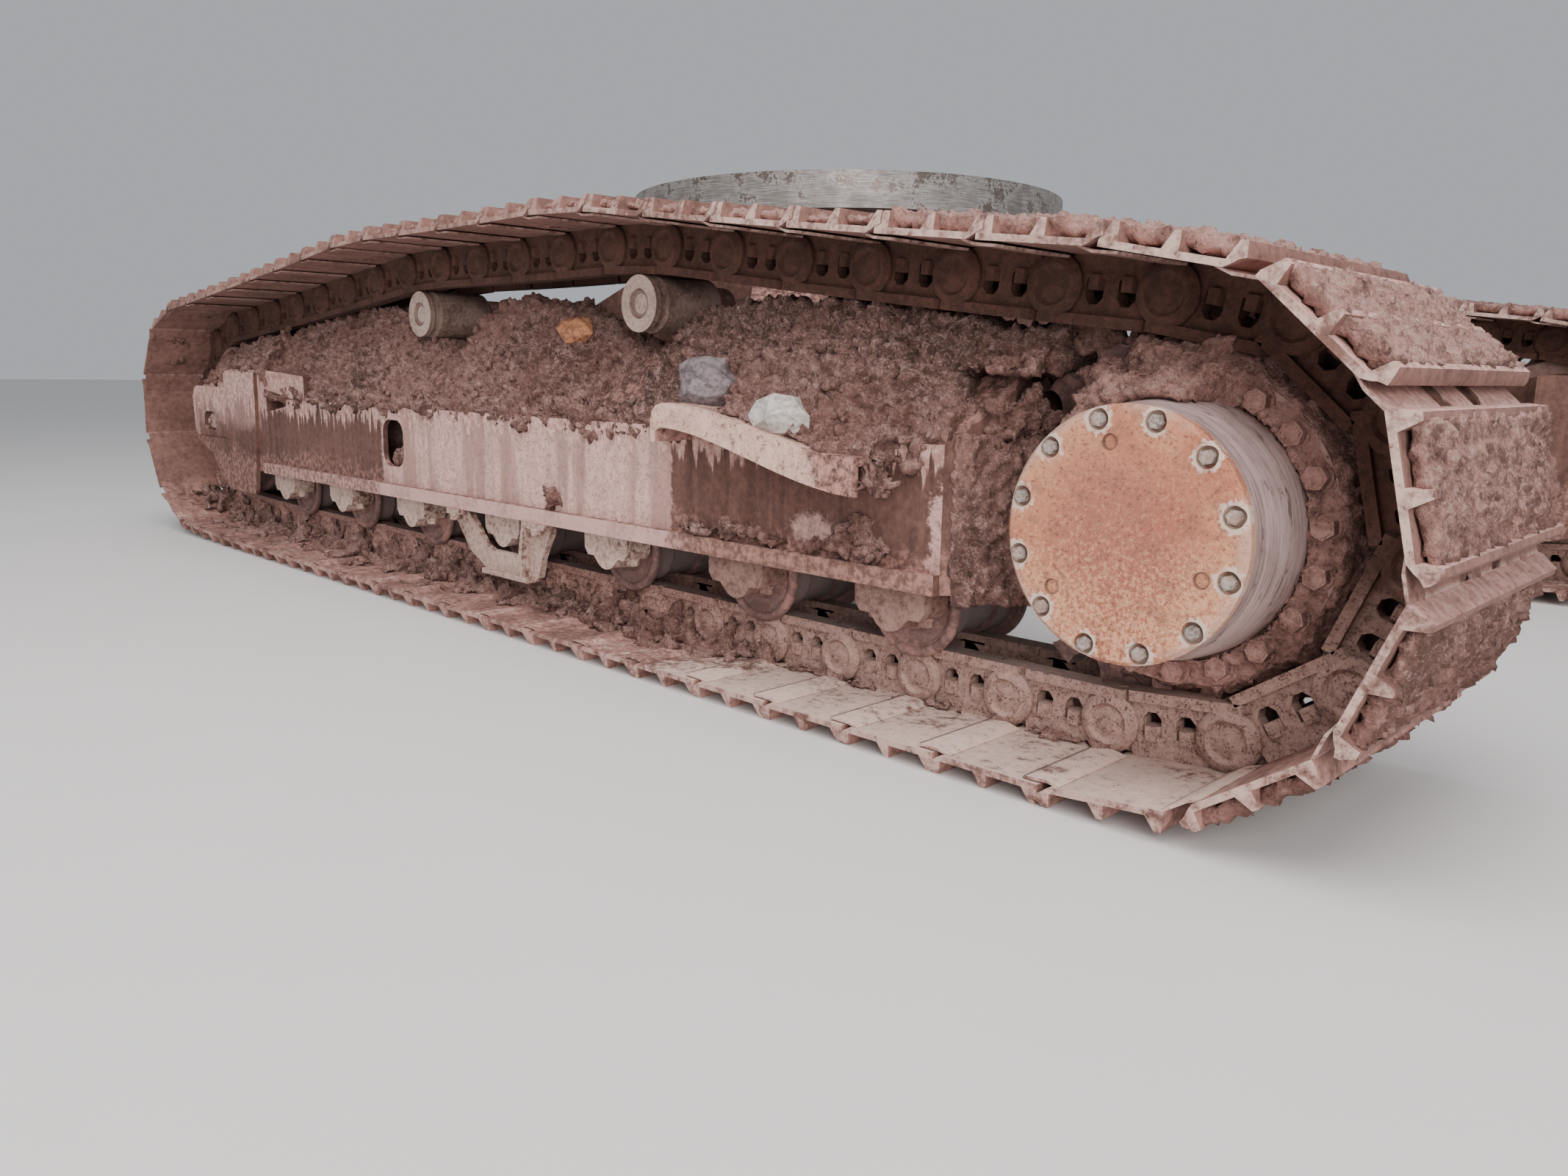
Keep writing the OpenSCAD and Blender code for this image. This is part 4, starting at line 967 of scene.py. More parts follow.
def link_places(sizes):
    """The pins, the middle of each link and the angle that turns its front end along the run."""
    pins = pin_places(sizes)
    middles, turns = [], []
    for a, b in zip(pins, pins[1:] + pins[:1]):
        middles.append((a + b) / 2)
        turns.append(math.atan2(-(b - a).y, (b - a).x))
    return pins, middles, turns


# Pieces of the chain


def link_mesh(sizes):
    """One link with two windows. Its rear pin end stands outwards, its front bushing end inwards."""
    half = sizes.link_pitch / 2
    rail, seat = sizes.rail_height, -sizes.shoe_depth
    web_in, web_out = 0.055, 0.081
    front_in, front_out = 0.050, 0.0705
    rear_in, rear_out = 0.0725, 0.0925
    nut_reach, nut_out, nut_r = 0.028, 0.073, 0.0165
    shape = Shape()
    window = [(0.012, -0.014), (0.042, -0.014), (0.042, 0.014), (0.034, 0.024), (0.020, 0.024),
              (0.012, 0.014)]
    web = [(-0.068, seat), (0.060, seat), (0.064, -0.020), (0.064, 0.042), (-half, 0.042), (-half, -0.030)]
    shape.prism(web, web_in, web_out, [window, [(-x, z) for x, z in window]])
    shape.prism([(0.050, seat), (half, -0.044), (half, 0.044), (0.050, 0.044)], front_in, front_out)
    front_end = [(0.0, front_in), (0.045, front_in), (0.045, front_out), (0.0, front_out)]
    shape.turned(front_end, (half, 0), 12)
    rear_end = [(0.0, 0.0945), (0.017, 0.0945), (0.021, 0.0925), (0.027, 0.0930), (0.033, 0.0985),
                (0.041, 0.0970), (0.0490, 0.0890), (0.0490, rear_in), (0.0, rear_in)]
    shape.turned(rear_end, (-half, 0), 16)
    plan = [(-0.122, rear_in), (-0.116, rear_out), (0.060, rear_out), (0.071, front_out), (0.118, front_out),
            (0.122, front_in), (-0.058, front_in), (-0.070, rear_in)]
    shape.prism(plan, 0.040, rail, lift=flat)
    for x in (-nut_reach, nut_reach):
        shape.prism([(x + a, b) for a, b in ring_of(6, nut_r, (0, nut_out))], -0.020, 0.003, lift=flat)
    return shape.mesh("link")


def shoe_mesh(sizes):
    """One shoe with three bars. Its front edge dips below the next shoe, and a tongue laps over that one."""
    plate = 0.010
    bolt_along, bolt_out, bolt_r = 0.034, 0.071, 0.018
    inner = -sizes.shoe_depth
    outer = inner - plate
    tip = inner - sizes.bar_height
    half = sizes.shoe_width / 2
    profile = [
        (-0.101, inner), (0.072, inner), (0.083, inner - 0.006), (0.090, inner - 0.0115),
        (0.100, inner - 0.015), (0.099, inner - 0.022), (0.092, tip), (0.082, tip), (0.074, outer),
        (0.012, outer), (0.005, tip), (-0.005, tip), (-0.012, outer), (-0.074, outer), (-0.082, tip),
        (-0.092, tip), (-0.101, inner - 0.009)]
    shape = Shape()
    shape.prism(profile, -half, half, lift=lambda x, y, z: (x, y * (1.0 if z > tip + 0.004 else 0.965), z))
    tongue = [(0.060, inner - 0.002), (0.080, inner + 0.003), (0.122, inner + 0.0035),
              (0.120, inner + 0.0075), (0.084, inner + 0.0075), (0.060, inner + 0.001)]
    for y0, y1 in ((-half + 0.006, -0.097), (-0.048, 0.048), (0.097, half - 0.006)):
        shape.prism(tongue, y0, y1)
    for x in (-bolt_along, bolt_along):
        for y in (-bolt_out, bolt_out):
            head = [(x + a, y + b) for a, b in ring_of(6, bolt_r)]
            shape.prism(head, outer + 0.001, outer - 0.012, lift=flat)
    made = shape.mesh("shoe")
    worn = [max(0.0, v.co.x - 0.082) / 0.04 if v.co.z > inner + 0.001 else 0.0 for v in made.vertices]
    made.attributes.new("worn_edge", "FLOAT", "POINT").data.foreach_set("value", worn)
    return made


def bushing_mesh():
    """The bushing between the two links on a pin."""
    half, r = 0.050, 0.028
    shape = Shape()
    shape.turned([(0.0, -half), (r, -half), (r, half), (0.0, half)], steps=14)
    return shape.mesh("bushing")


def bolt_mesh(across, head, washer, plate):
    """A hexagon bolt head with a raised middle, on its washer. It stands along +Z."""
    corner_r = across / FLATS_TO_CORNERS
    shape = Shape()
    shape.prism(ring_of(16, washer), -0.002, plate, lift=flat)
    shape.prism(ring_of(6, corner_r), plate - 0.001, head, lift=flat)
    shape.prism(ring_of(8, across * 0.42), head - 0.001, head + 0.0015, lift=flat)
    return shape.mesh("bolt")


def plug_mesh():
    """A screw plug with a raised rim and a raised middle. It stands along +Z."""
    shape = Shape()
    rings = [(0.0, -0.002), (0.0100, -0.002), (0.0100, 0.0040), (0.0080, 0.0045), (0.0068, 0.0012),
             (0.0042, 0.0012), (0.0036, 0.0045), (0.0, 0.0050)]
    shape.turned(rings, steps=16)
    made = shape.mesh("plug")
    made.transform(Matrix.Rotation(math.pi / 2, 4, "X"))
    return made


def hanging(mesh):
    """The same mesh, turned to point down."""
    mesh.transform(Matrix.Rotation(math.pi, 4, "X"))
    return mesh


# Operators


class UNDERCARRIAGE_OT_chain(bpy.types.Operator):
    """Make the links and bushings of both chains"""

    bl_idname = "undercarriage.chain"
    bl_label = "Track Chains"

    def execute(self, context):
        sizes = context.scene.track_sizes
        pins, middles, turns = link_places(sizes)
        tree = run_tree()
        steel = material("track_links")
        link = tool(link_mesh(sizes))
        bushing = tool(bushing_mesh())
        for name, side in SIDES:
            rows = []
            for across in (1, -1):
                made = along_run(tree, link, middles, turns, steel)
                if across < 0:
                    mirror(made)
                rows.append(made)
            rows.append(along_run(tree, bushing, pins, turns, steel))
            piece = place_piece("links_" + name, join(rows), steel, side)
            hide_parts("track_chain_" + name)
        for lent in (link, bushing):
            bpy.data.objects.remove(lent)
        return {"FINISHED"}


class UNDERCARRIAGE_OT_shoes(bpy.types.Operator):
    """Make the track shoes of both tracks"""

    bl_idname = "undercarriage.shoes"
    bl_label = "Track Shoes"

    def execute(self, context):
        sizes = context.scene.track_sizes
        _, middles, turns = link_places(sizes)
        tree = run_tree()
        steel = material("track_shoe_plates")
        shoe = tool(shoe_mesh(sizes))
        for name, side in SIDES:
            made = along_run(tree, shoe, middles, turns, steel)
            piece = place_piece("shoes_" + name, made, steel, side)
            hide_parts("track_shoes_" + name)
        bpy.data.objects.remove(shoe)
        return {"FINISHED"}


# Rings on the final drive: name, count, radius, first angle, distance from the track's middle, width
# across the flats or 0 for a plug, radius of the washer, slot and finish
DRIVE_RINGS = (
    ("cover_bolts", COVER_BOLTS, COVER_BOLT_R, COVER_BOLT_PHASE, 0.266, 0.0175, 0.009, "rusty_cover",
     "grey_bolts"),
    ("cover_plugs", COVER_PLUGS, PLUG_R, PLUG_PHASE, 0.2695, 0.0, 0.0, "rusty_cover", "grey_bolts"),
    ("flange_bolts", 20, 0.2115, 0.1, 0.108, 0.030, 0.030 * 0.66, "cast_parts", "dry_mud"),
    ("sprocket_bolts", 20, 0.2535, 0.2, 0.031, 0.031, 0.031 * 0.66, "wheel_steel", "dry_mud"),
)

# Rings about the slewing axis: name, count, radius, height, whether they point down, slot, and the bolt's
# width, head, washer and washer's thickness
AXIS_RINGS = (
    ("inner_race_bolts", 36, 0.566, 1.137, False, "ring_steel", (0.030, 0.0060, 0.020, 0.002)),
    ("belly_bolts", 16, 0.250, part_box("belly_cover")[0].z + 0.0005, True, "frame_steel",
     (0.024, 0.009, 0.016, 0.002)),
)

# Nuts under the collars' feet and under the guards' flanges: places along and across, and their heights
FOOT_REACH = 0.056
FOOT_OUT = 0.145
FOOT_Z = 0.2045
FLANGE_REACHES = (-0.205, 0.168)
FLANGE_OUT = 0.211
FLANGE_Z = FLOOR_Z - 0.0138


class UNDERCARRIAGE_OT_bolts(bpy.types.Operator):
    """Set the bolts of the final drives, the collars, the belly cover and the slewing ring"""

    bl_idname = "undercarriage.bolts"
    bl_label = "Bolts"

    def execute(self, context):
        circle = circle_tree()
        for label, count, radius, phase, out, across, washer, slot, finish in DRIVE_RINGS:
            coat = material(finish)
            shape = tool(bolt_mesh(across, across * 0.72, washer, 0.004) if across else plug_mesh())
            for name, side in SIDES:
                made = grow(circle, bpy.data.meshes.new("none"), {
                    "Shape": shape, "Count": count, "Radius": radius, "Phase": phase,
                    "Centre": (DRIVE.x, out, DRIVE.y), "Tilt": (-math.pi / 2, 0.0, 0.0), "Material": coat})
                place_piece(label + "_" + name, made, coat, side)
            bpy.data.objects.remove(shape)

        coat = material("grey_bolts")
        for label, count, radius, height, down, slot, bolt in AXIS_RINGS:
            shape = tool(hanging(bolt_mesh(*bolt)) if down else bolt_mesh(*bolt))
            made = grow(circle, bpy.data.meshes.new("none"), {
                "Shape": shape, "Count": count, "Radius": radius, "Phase": 0.05,
                "Centre": (0.0, 0.0, height), "Tilt": (0.0, 0.0, 0.0), "Material": coat})
            place_piece(label, made, coat, track=False)
            bpy.data.objects.remove(shape)

        tree = run_tree()
        shape = tool(hanging(bolt_mesh(0.024, 0.014, 0.015, 0.003)))
        guard = ROLLERS[len(ROLLERS) // 2]
        feet = [Vector((x + reach, FOOT_Z)) for x in ROLLERS for reach in (-FOOT_REACH, FOOT_REACH)]
        flanges = [Vector((guard + reach, FLANGE_Z)) for reach in FLANGE_REACHES]
        steel = material("dusty_blocks")
        for name, side in SIDES:
            rows = []
            for places, across in ((feet, (-FOOT_OUT, FOOT_OUT)), (flanges, (-FLANGE_OUT, FLANGE_OUT))):
                rows.append(along_run(tree, shape, places, [0.0] * len(places), steel, across))
            place_piece("block_nuts_" + name, join(rows), steel, side)
        bpy.data.objects.remove(shape)
        return {"FINISHED"}


# The floor of the pockets for the shaft locks, by its distance from the track's middle, and their bolts
LOCK_OUT = 0.179
LOCK_BOLT_REACH = 0.026
LOCK_BOLT_R = 0.0105


class UNDERCARRIAGE_OT_locks(bpy.types.Operator):
    """Set the shaft locks into the pockets of the idlers' blocks"""

    bl_idname = "undercarriage.locks"
    bl_label = "Shaft Locks"

    def execute(self, context):
        steel = material("dusty_blocks")
        x, z = IDLER.x - 0.025, IDLER.y - 0.008
        plate = [(x + a * 1.5, z + b * 0.85) for a, b in ring_of(12, 0.031)]
        for name, side in SIDES:
            shape = Shape()
            for way in (1, -1):
                floor = way * LOCK_OUT
                shape.prism(plate, floor - way * 0.002, floor + way * 0.010)
                for reach in (-LOCK_BOLT_REACH, LOCK_BOLT_REACH):
                    hexagon = ring_of(6, LOCK_BOLT_R, (x + reach, z))
                    shape.prism(hexagon, floor + way * 0.009, floor + way * 0.018)
            place_piece("shaft_locks_" + name, shape.mesh("locks"), steel, side)
        return {"FINISHED"}


# Mud on the side frame: place along the machine and its greatest thickness over the frame's ridge
MUD_ALONG = (
    (-1.480, 0.060), (-1.30, 0.098), (-1.15, 0.112), (-1.03, 0.120), (-0.85, 0.122), (-0.74, 0.120),
    (-0.67, 0.080), (-0.60, 0.018), (-0.54, 0.010), (-0.46, 0.045), (-0.30, 0.105), (-0.15, 0.140),
    (0.0, 0.150), (0.10, 0.130), (0.20, 0.060), (0.27, 0.014), (0.34, 0.010), (0.42, 0.060),
    (0.52, 0.120), (0.70, 0.148), (0.85, 0.142), (1.00, 0.130), (1.20, 0.112), (1.305, 0.100))

# How much of that thickness is left at the outer shoulder, by place
SHOULDER_SHARE = ((-1.45, 0.45), (-1.30, 0.62), (-0.95, 0.60), (-0.80, 0.18), (1.30, 0.15))

# Heaps on the lip: place, half length and height
LIP_HEAPS = (
    (-1.345, 0.030, 0.036), (-1.300, 0.042, 0.074), (-1.255, 0.030, 0.050), (-1.185, 0.020, 0.030),
    (-1.100, 0.036, 0.020), (-1.030, 0.045, 0.028), (-0.960, 0.045, 0.030), (-0.890, 0.045, 0.024),
    (-0.835, 0.020, 0.018), (-0.365, 0.036, 0.034), (-0.350, 0.022, 0.042))

# Height of the mud on the idler's fork, by place
FORK_MUD = (
    (1.27, 0.735), (1.36, 0.715), (1.48, 0.705), (1.60, 0.690), (1.72, 0.670), (1.82, 0.638), (1.90, 0.590),
    (1.93, 0.560))
FORK_FLOOR = 0.545

# Banks on the notch of the frame's rear end and on the step: their two ends, and how far out they reach
NOTCH = (-1.605, -1.45)
NOTCH_FLOOR = 0.618
STEP_BANK = (-1.37, -0.99)
STEP_OUT = 0.268

# The step's tread falls in a smooth bend towards its rear end: where that begins, its length and heights
STEP_BEND_FRONT = DRIVE.x + 0.958
STEP_BEND = 0.488
STEP_TOP = SHOULDER_Z + 0.050
STEP_FALL = 0.074

# Where the tongues of mud over the shoulder begin and end
TONGUES = (-0.80, 1.28)

# Lumps strewn on the side frame: how many, two corners of their space, smallest and largest half sizes
FRAME_LUMPS = (
    # Over the shoulder behind the step
    (30, (-1.45, 0.185, 0.475), (-0.88, 0.200, 0.535), (0.02, 0.010, 0.015), (0.06, 0.018, 0.035)),
    (22, (-1.375, 0.215, 0.430), (-1.275, STEP_OUT, 0.480), (0.02, 0.014, 0.018), (0.04, 0.024, 0.034)),
    # On the notch of the rear end
    (14, (-1.570, 0.050, 0.520), (-1.470, 0.150, 0.570), (0.02, 0.015, 0.02), (0.04, 0.030, 0.035)),
    # Inside the access hole
    (16, (HOLE_X - 0.05, 0.140, 0.335), (HOLE_X + 0.05, 0.168, 0.375), (0.02, 0.010, 0.012),
     (0.035, 0.016, 0.026)),
)

# Section of the mud ring on the drum's flange and the sprocket, from the drum outwards: radius and distance
# from the track's middle
DRIVE_MUD = (
    (0.186, 0.138), (0.201, 0.126), (0.214, 0.116), (0.236, 0.112), (0.244, 0.098), (0.248, 0.072),
    (0.259, 0.052), (0.262, 0.036), (0.284, 0.034), (0.287, 0.016), (0.200, 0.016))

# The shoes with slabs of mud lie behind this place and above this height, those of the upper run above the
# third value
SLAB_X = -1.36
SLAB_LOW = 0.12
UPPER_RUN_LOW = 0.6

# The links with mud lie in front of this place and below this height, and their mud begins at this
# distance from the track's middle. From another place on it gets thicker, over a stretch.
LINK_MUD_X = -1.75
LINK_MUD_HIGH = 0.20
LINK_OUT = 0.088
THICK_FROM = -1.10
THICK_OVER = 0.35


def between(table, x):
    """The value at x in a table of places and values, with smooth steps."""
    if x <= table[0][0]:
        return table[0][1]
    for (x0, v0), (x1, v1) in zip(table, table[1:]):
        if x <= x1:
            t = (x - x0) / (x1 - x0)
            return v0 + (v1 - v0) * (3 * t * t - 2 * t * t * t)
    return table[-1][1]


def spaced(first, last, step):
    """Even places from first to last."""
    count = round((last - first) / step)
    return [first + (last - first) * i / count for i in range(count + 1)]


def frame_top(out):
    """Height of the side frame's upper faces at a distance from the track's middle."""
    return min(RIDGE_Z, SHOULDER_Z + FRAME_OUT - out, INNER_SHOULDER_Z + FRAME_IN + out)


def bank_top(x, out):
    """Height of the mud on the side frame."""
    share = 1.0 - (1.0 - between(SHOULDER_SHARE, x)) * (max(0.0, out - 0.05) / 0.145) ** 1.4
    share *= min(1.0, (out + 0.186) / 0.06)
    return frame_top(out) + max(0.004, between(MUD_ALONG, x) * share)


def step_top(x):
    """Height of the boarding step's tread."""
    share = min(1.0, max(0.0, (STEP_BEND_FRONT - x) / STEP_BEND))
    return STEP_TOP - STEP_FALL * (3 * share ** 2 - 2 * share ** 3)


def heap(shape, xs, outs, top, bottom):
    """A closed bank of mud between two surfaces, which are functions of x and the distance outwards."""
    new, face = shape.bm.verts.new, shape.bm.faces.new
    rows = [[(new((x, out, top(x, out))), new((x, out, bottom(x, out)))) for out in outs] for x in xs]
    for a, b in zip(rows, rows[1:]):
        for i in range(len(outs) - 1):
            face([a[i][0], b[i][0], b[i + 1][0], a[i + 1][0]])
            face([a[i][1], a[i + 1][1], b[i + 1][1], b[i][1]])
        face([a[0][0], a[0][1], b[0][1], b[0][0]])
        face([a[-1][0], b[-1][0], b[-1][1], a[-1][1]])
    for row, turn in ((rows[0], 1), (rows[-1], -1)):
        for i in range(len(outs) - 1):
            face([row[i][0], row[i + 1][0], row[i + 1][1], row[i][1]][::turn])


def strew(shape, chance, count, low, high, small, large):
    """Lumps at random places between two corners, with sizes between two others."""
    for _ in range(count):
        shape.lump([chance.uniform(a, b) for a, b in zip(low, high)],
                   [chance.uniform(a, b) for a, b in zip(small, large)], chance)


class UNDERCARRIAGE_OT_mud(bpy.types.Operator):
    """Heap dried mud on the side frames, the final drives, the shoes and the chains"""

    bl_idname = "undercarriage.mud"
    bl_label = "Dried Mud"

    def execute(self, context):
        look, sizes = context.scene.mud_look, context.scene.track_sizes
        tree = mud_tree()
        # The second mud is painted lighter: partly drier earth, partly painted light
        damp, dry = material("dried_mud"), material("dry_mud")
        crumb_shape = Shape()
        crumb_shape.lump((0, 0, 0), (1, 1, 1), random.Random(3), 0.3, 1)
        crumb = tool(crumb_shape.mesh("crumb", ALL_SMOOTH))
        for name, side in SIDES:
            chance = random.Random(look.seed + side)
            thick = {
                "Voxel": look.voxel, "Swell": look.swell, "Swell Scale": 7.0, "Clods": 0.026,
                "Clod Scale": 16.0, "Crumb": crumb, "Crumb Size": look.crumb, "Crumbs": 1000.0,
                "Seed": look.seed + side}
            thin = {**thick, "Swell": 0.010, "Clods": 0.009, "Clod Scale": 30.0, "Crumb Size": 0.0055}
            fine = {**thin, "Voxel": 0.0065}
            slabs = {**thin, "Swell": 0.006, "Clods": 0.013, "Voxel": 0.0085, "Crumbs": 0.0}
            for label, base, values, coat, slot in (
                    ("frame_mud_", frame_mud(chance), thick, damp, "frame_steel"),
                    ("end_mud_", end_mud(chance), {**fine, "Crumbs": 500.0}, damp, "frame_steel"),
                    ("drive_mud_", drive_mud(chance), {**fine, "Crumbs": 700.0}, dry, "cast_parts"),
                    ("shoe_mud_", shoe_mud(sizes, chance), slabs, dry, "shoe_steel"),
                    ("chain_mud_", chain_mud(sizes, chance), {**thin, "Clods": 0.012, "Crumbs": 600.0},
                     damp, "chain_steel")):
                made = grow(tree, base, {**values, "Material": coat})
                place_piece(label + name, made, coat, side)
        bpy.data.objects.remove(crumb)
        return {"FINISHED"}


def frame_mud(chance):
    """Banks on the frame and on the fork, tongues over the shoulder, heaps on the lip and the step."""
    shape = Shape()
    outs = [-0.180 + 0.0187 * i for i in range(21)]
    heap(shape, spaced(BOX_REAR - 0.005, BOX_FRONT, 0.03), outs, bank_top,
         lambda x, out: frame_top(out) - 0.03)
    heap(shape, spaced(*NOTCH, 0.02), spaced(-0.06, 0.170, 0.023),
         lambda x, out: 0.702 - 0.60 * max(0.0, out - 0.045), lambda x, out: NOTCH_FLOOR)
    heap(shape, spaced(FORK_MUD[0][0], FORK_MUD[-1][0], 0.03), spaced(0.098, 0.203, 0.015),
         lambda x, out: max(0.560, between(FORK_MUD, x) - 1.1 * max(0.0, out - 0.125)),
         lambda x, out: FORK_FLOOR)
    heap(shape, spaced(*STEP_BANK, 0.03), spaced(0.185, STEP_OUT, 0.012),
         lambda x, out: step_top(x) + 0.008 + 0.9 * (STEP_OUT - out), lambda x, out: step_top(x) - 0.01)

    x, last = TONGUES
    while x < last:
        long = chance.uniform(0.03, 0.07)
        centre, size = (x, FRAME_OUT - 0.002, SHOULDER_Z + 0.006), (long, 0.018, chance.uniform(0.015, 0.055))
        shape.lump(centre, size, chance, 0.15)
        x += long * chance.uniform(0.8, 1.5)
    for x, half, height in LIP_HEAPS:
        centre = (x, FRAME_OUT + 0.003, FLOOR_Z + 0.036 + height * 0.6)
        shape.lump(centre, (half * 1.15, 0.026, height * 0.8), chance, 0.15)
    for count, *corners in FRAME_LUMPS:
        strew(shape, chance, count, *corners)
    return shape.mesh("mud", ALL_SMOOTH)


def end_mud(chance):
    """Mud that covers the frame's tapered rear end."""
    shape = Shape()
    plan = [(BOX_REAR - 0.010, 0.196), (BOX_REAR - 0.036, 0.176), (-1.588, 0.062), (-1.585, 0.046),
            (-1.566, 0.046), (BOX_REAR - 0.028, 0.150), (BOX_REAR - 0.008, 0.176)]
    shape.prism(plan, 0.238, 0.525, lift=flat)
    for _ in range(44):
        share = chance.uniform(0.0, 1.0)
        centre = (BOX_REAR - 0.024 - 0.092 * share, 0.178 - 0.118 * share, chance.uniform(0.252, 0.560))
        size = [chance.uniform(*limits) for limits in ((0.014, 0.030), (0.007, 0.014), (0.014, 0.034))]
        shape.lump(centre, size, chance)
    return shape.mesh("mud", ALL_SMOOTH)


def round_drive(r, a):
    """The place (x, z) at a radius and an angle about the drive's axis."""
    return DRIVE.x + r * math.cos(a), DRIVE.y + r * math.sin(a)


def drive_mud(chance):
    """A thick ring on the drum's flange and the sprocket, and a pile between the drum and the chain above."""
    steps, uneven_by = 72, 0.004
    layers, spans, inner_r, outer_r = 8, 12, 0.180, 0.306
    shape = Shape()
    bumps = [chance.uniform(-1, 1) for _ in range(steps)]
    shape.turned(DRIVE_MUD, tuple(DRIVE), steps,
                 lambda a, r, y: uneven_by * bumps[int(a / 6.2832 * (steps - 1))])

    # The pile gets narrower outwards, and its front edge leans back towards the chain
    for i in range(layers):
        share = i / (layers - 1)
        reach = outer_r - 0.098 * share ** 0.7
        first, last = 58 - 20 * share, 124 - 20 * share
        angles = [math.radians(first + (last - first) * k / spans) for k in range(spans + 1)]
        aside = [abs(2 * k - spans) / spans for k in range(spans + 1)]
        radii = [reach * (1 - 0.10 * (1 - share) * part ** 3) for part in aside]
        outline = [round_drive(r, a) for a, r in zip(angles, radii)]
        outline += [round_drive(inner_r, a) for a in reversed(angles)]
        shape.prism(outline, 0.020 + 0.022 * i, 0.046 + 0.024 * i)
    for _ in range(26):
        angle, share = math.radians(chance.uniform(44, 106)), chance.random()
        r, size = 0.296 - 0.085 * share, chance.uniform(0.010, 0.022)
        x, z = round_drive(r, angle)
        shape.lump((x, 0.040 + 0.150 * share, z), (size * 1.4, size * 0.8, size), chance)
    strew(shape, chance, 12, (DRIVE.x + 0.10, -0.025, 0.660), (DRIVE.x + 0.25, 0.025, 0.735),
          (0.02, 0.02, 0.02), (0.04, 0.03, 0.035))
    return shape.mesh("mud", ALL_SMOOTH)


def on_shoe(middle, turn):
    """Turns a place in a link's own directions into one on the track."""
    c, s = math.cos(turn), math.sin(turn)
    return lambda x, y, z: (middle.x + x * c + z * s, y, middle.y - x * s + z * c)


def shoe_mud(sizes, chance):
    """Slabs that fill the rear shoes between their bars, and lumps on the shoes of the upper run."""
    shape = Shape()
    _, middles, turns = link_places(sizes)
    outer, tip = -sizes.shoe_depth - 0.008, -sizes.shoe_depth - sizes.bar_height
    half = sizes.shoe_width / 2
    for middle, turn in zip(middles, turns):
        place = on_shoe(middle, turn)
        if middle.x < SLAB_X and middle.y > SLAB_LOW:
            # As thick as the bars, but never outside the undercarriage's own length
            skin = []
            for x in (0.088, 0.030, -0.030, -0.090):
                low = tip - 0.005
                while place(x, 0, low)[0] < CAD_BOX[0].x + 0.0070:
                    low += 0.001
                skin.append((x, min(low, outer - 0.004)))
            shape.prism([(-0.092, outer), (0.090, outer)] + skin, 0.015 - half, half - 0.015, lift=place)
        elif middle.y > UPPER_RUN_LOW:
            shape.prism([(-0.092, outer), (0.088, outer), (0.088, tip + 0.008), (-0.088, tip + 0.008)],
                        half - 0.120, half - 0.015, lift=place)
            for _ in range(7):
                wide = chance.uniform(0.020, 0.070)
                at = place(chance.choice((-0.043, 0.043)) + chance.uniform(-0.02, 0.02),
                           chance.uniform(0.02, half - 0.016 - wide), outer - 0.003)
                shape.lump(at, (chance.uniform(0.020, 0.038), wide, chance.uniform(0.009, 0.016)), chance)
    return shape.mesh("mud", ALL_SMOOTH)


def chain_mud(sizes, chance):
    """Fillets of mud between the lower links and their shoes, thicker along the middle of the track."""
    shape = Shape()
    _, middles, turns = link_places(sizes)
    inner = -sizes.shoe_depth
    for middle, turn in zip(middles, turns):
        place = on_shoe(middle, turn)
        if middle.y > LINK_MUD_HIGH or middle.x < LINK_MUD_X:
            continue
        thick = min(1.0, max(0.0, (middle.x - THICK_FROM) / THICK_OVER))
        for _ in range(round(8 + 14 * thick)):
            out = LINK_OUT + chance.uniform(0.0, 0.02 + 0.14 * thick * chance.random())
            high = chance.uniform(0.006, 0.012 + 0.050 * thick * max(0.0, 1.0 - (out - LINK_OUT) / 0.12))
            shape.lump(place(chance.uniform(-0.10, 0.09), out, inner + high * 0.4),
                       (chance.uniform(0.014, 0.035), chance.uniform(0.008, 0.018), high), chance)
        if thick > 0.5 and chance.random() < 0.6:
            centre = place(chance.uniform(-0.06, 0.06), chance.uniform(0.15, 0.22), inner)
            size = [chance.uniform(*limits) for limits in ((0.03, 0.07), (0.02, 0.05), (0.012, 0.022))]
            shape.lump(centre, size, chance)
        if thick > 0.5:
            for _ in range(4):
                shape.lump(place(chance.uniform(-0.09, 0.09), 0.090, chance.uniform(-0.02, 0.035)),
                           (chance.uniform(0.014, 0.03), 0.010, chance.uniform(0.012, 0.026)), chance)
    return shape.mesh("mud", ALL_SMOOTH)


# Stones caught on the boarding step and in the mud: place, half sizes, and their light and dark colours
STONES = (
    ("pale_stone", (-1.140, 0.236, 0.538), (0.070, 0.040, 0.044),
     (0.700, 0.640, 0.590), (0.330, 0.290, 0.270)),
    ("grey_stone", (-0.905, 0.208, 0.592), (0.078, 0.036, 0.054),
     (0.300, 0.245, 0.255), (0.110, 0.085, 0.090)),
    ("ochre_stone", (-0.300, 0.085, 0.700), (0.056, 0.030, 0.040),
     (0.600, 0.270, 0.130), (0.200, 0.075, 0.045)),
)


class UNDERCARRIAGE_OT_stones(bpy.types.Operator):
    """Lay stones on the left boarding step and in the mud"""

    bl_idname = "undercarriage.stones"
    bl_label = "Stones"

    def execute(self, context):
        chance = random.Random(context.scene.mud_look.seed)
        for name, centre, size, pale, deep in STONES:
            shape = Shape()
            shape.lump(centre, size, chance, 0.24)
            coat = stone_finish(name, pale, deep)
            place_piece(name, shape.mesh(name, 20.0), coat)
        return {"FINISHED"}


# Surfaces


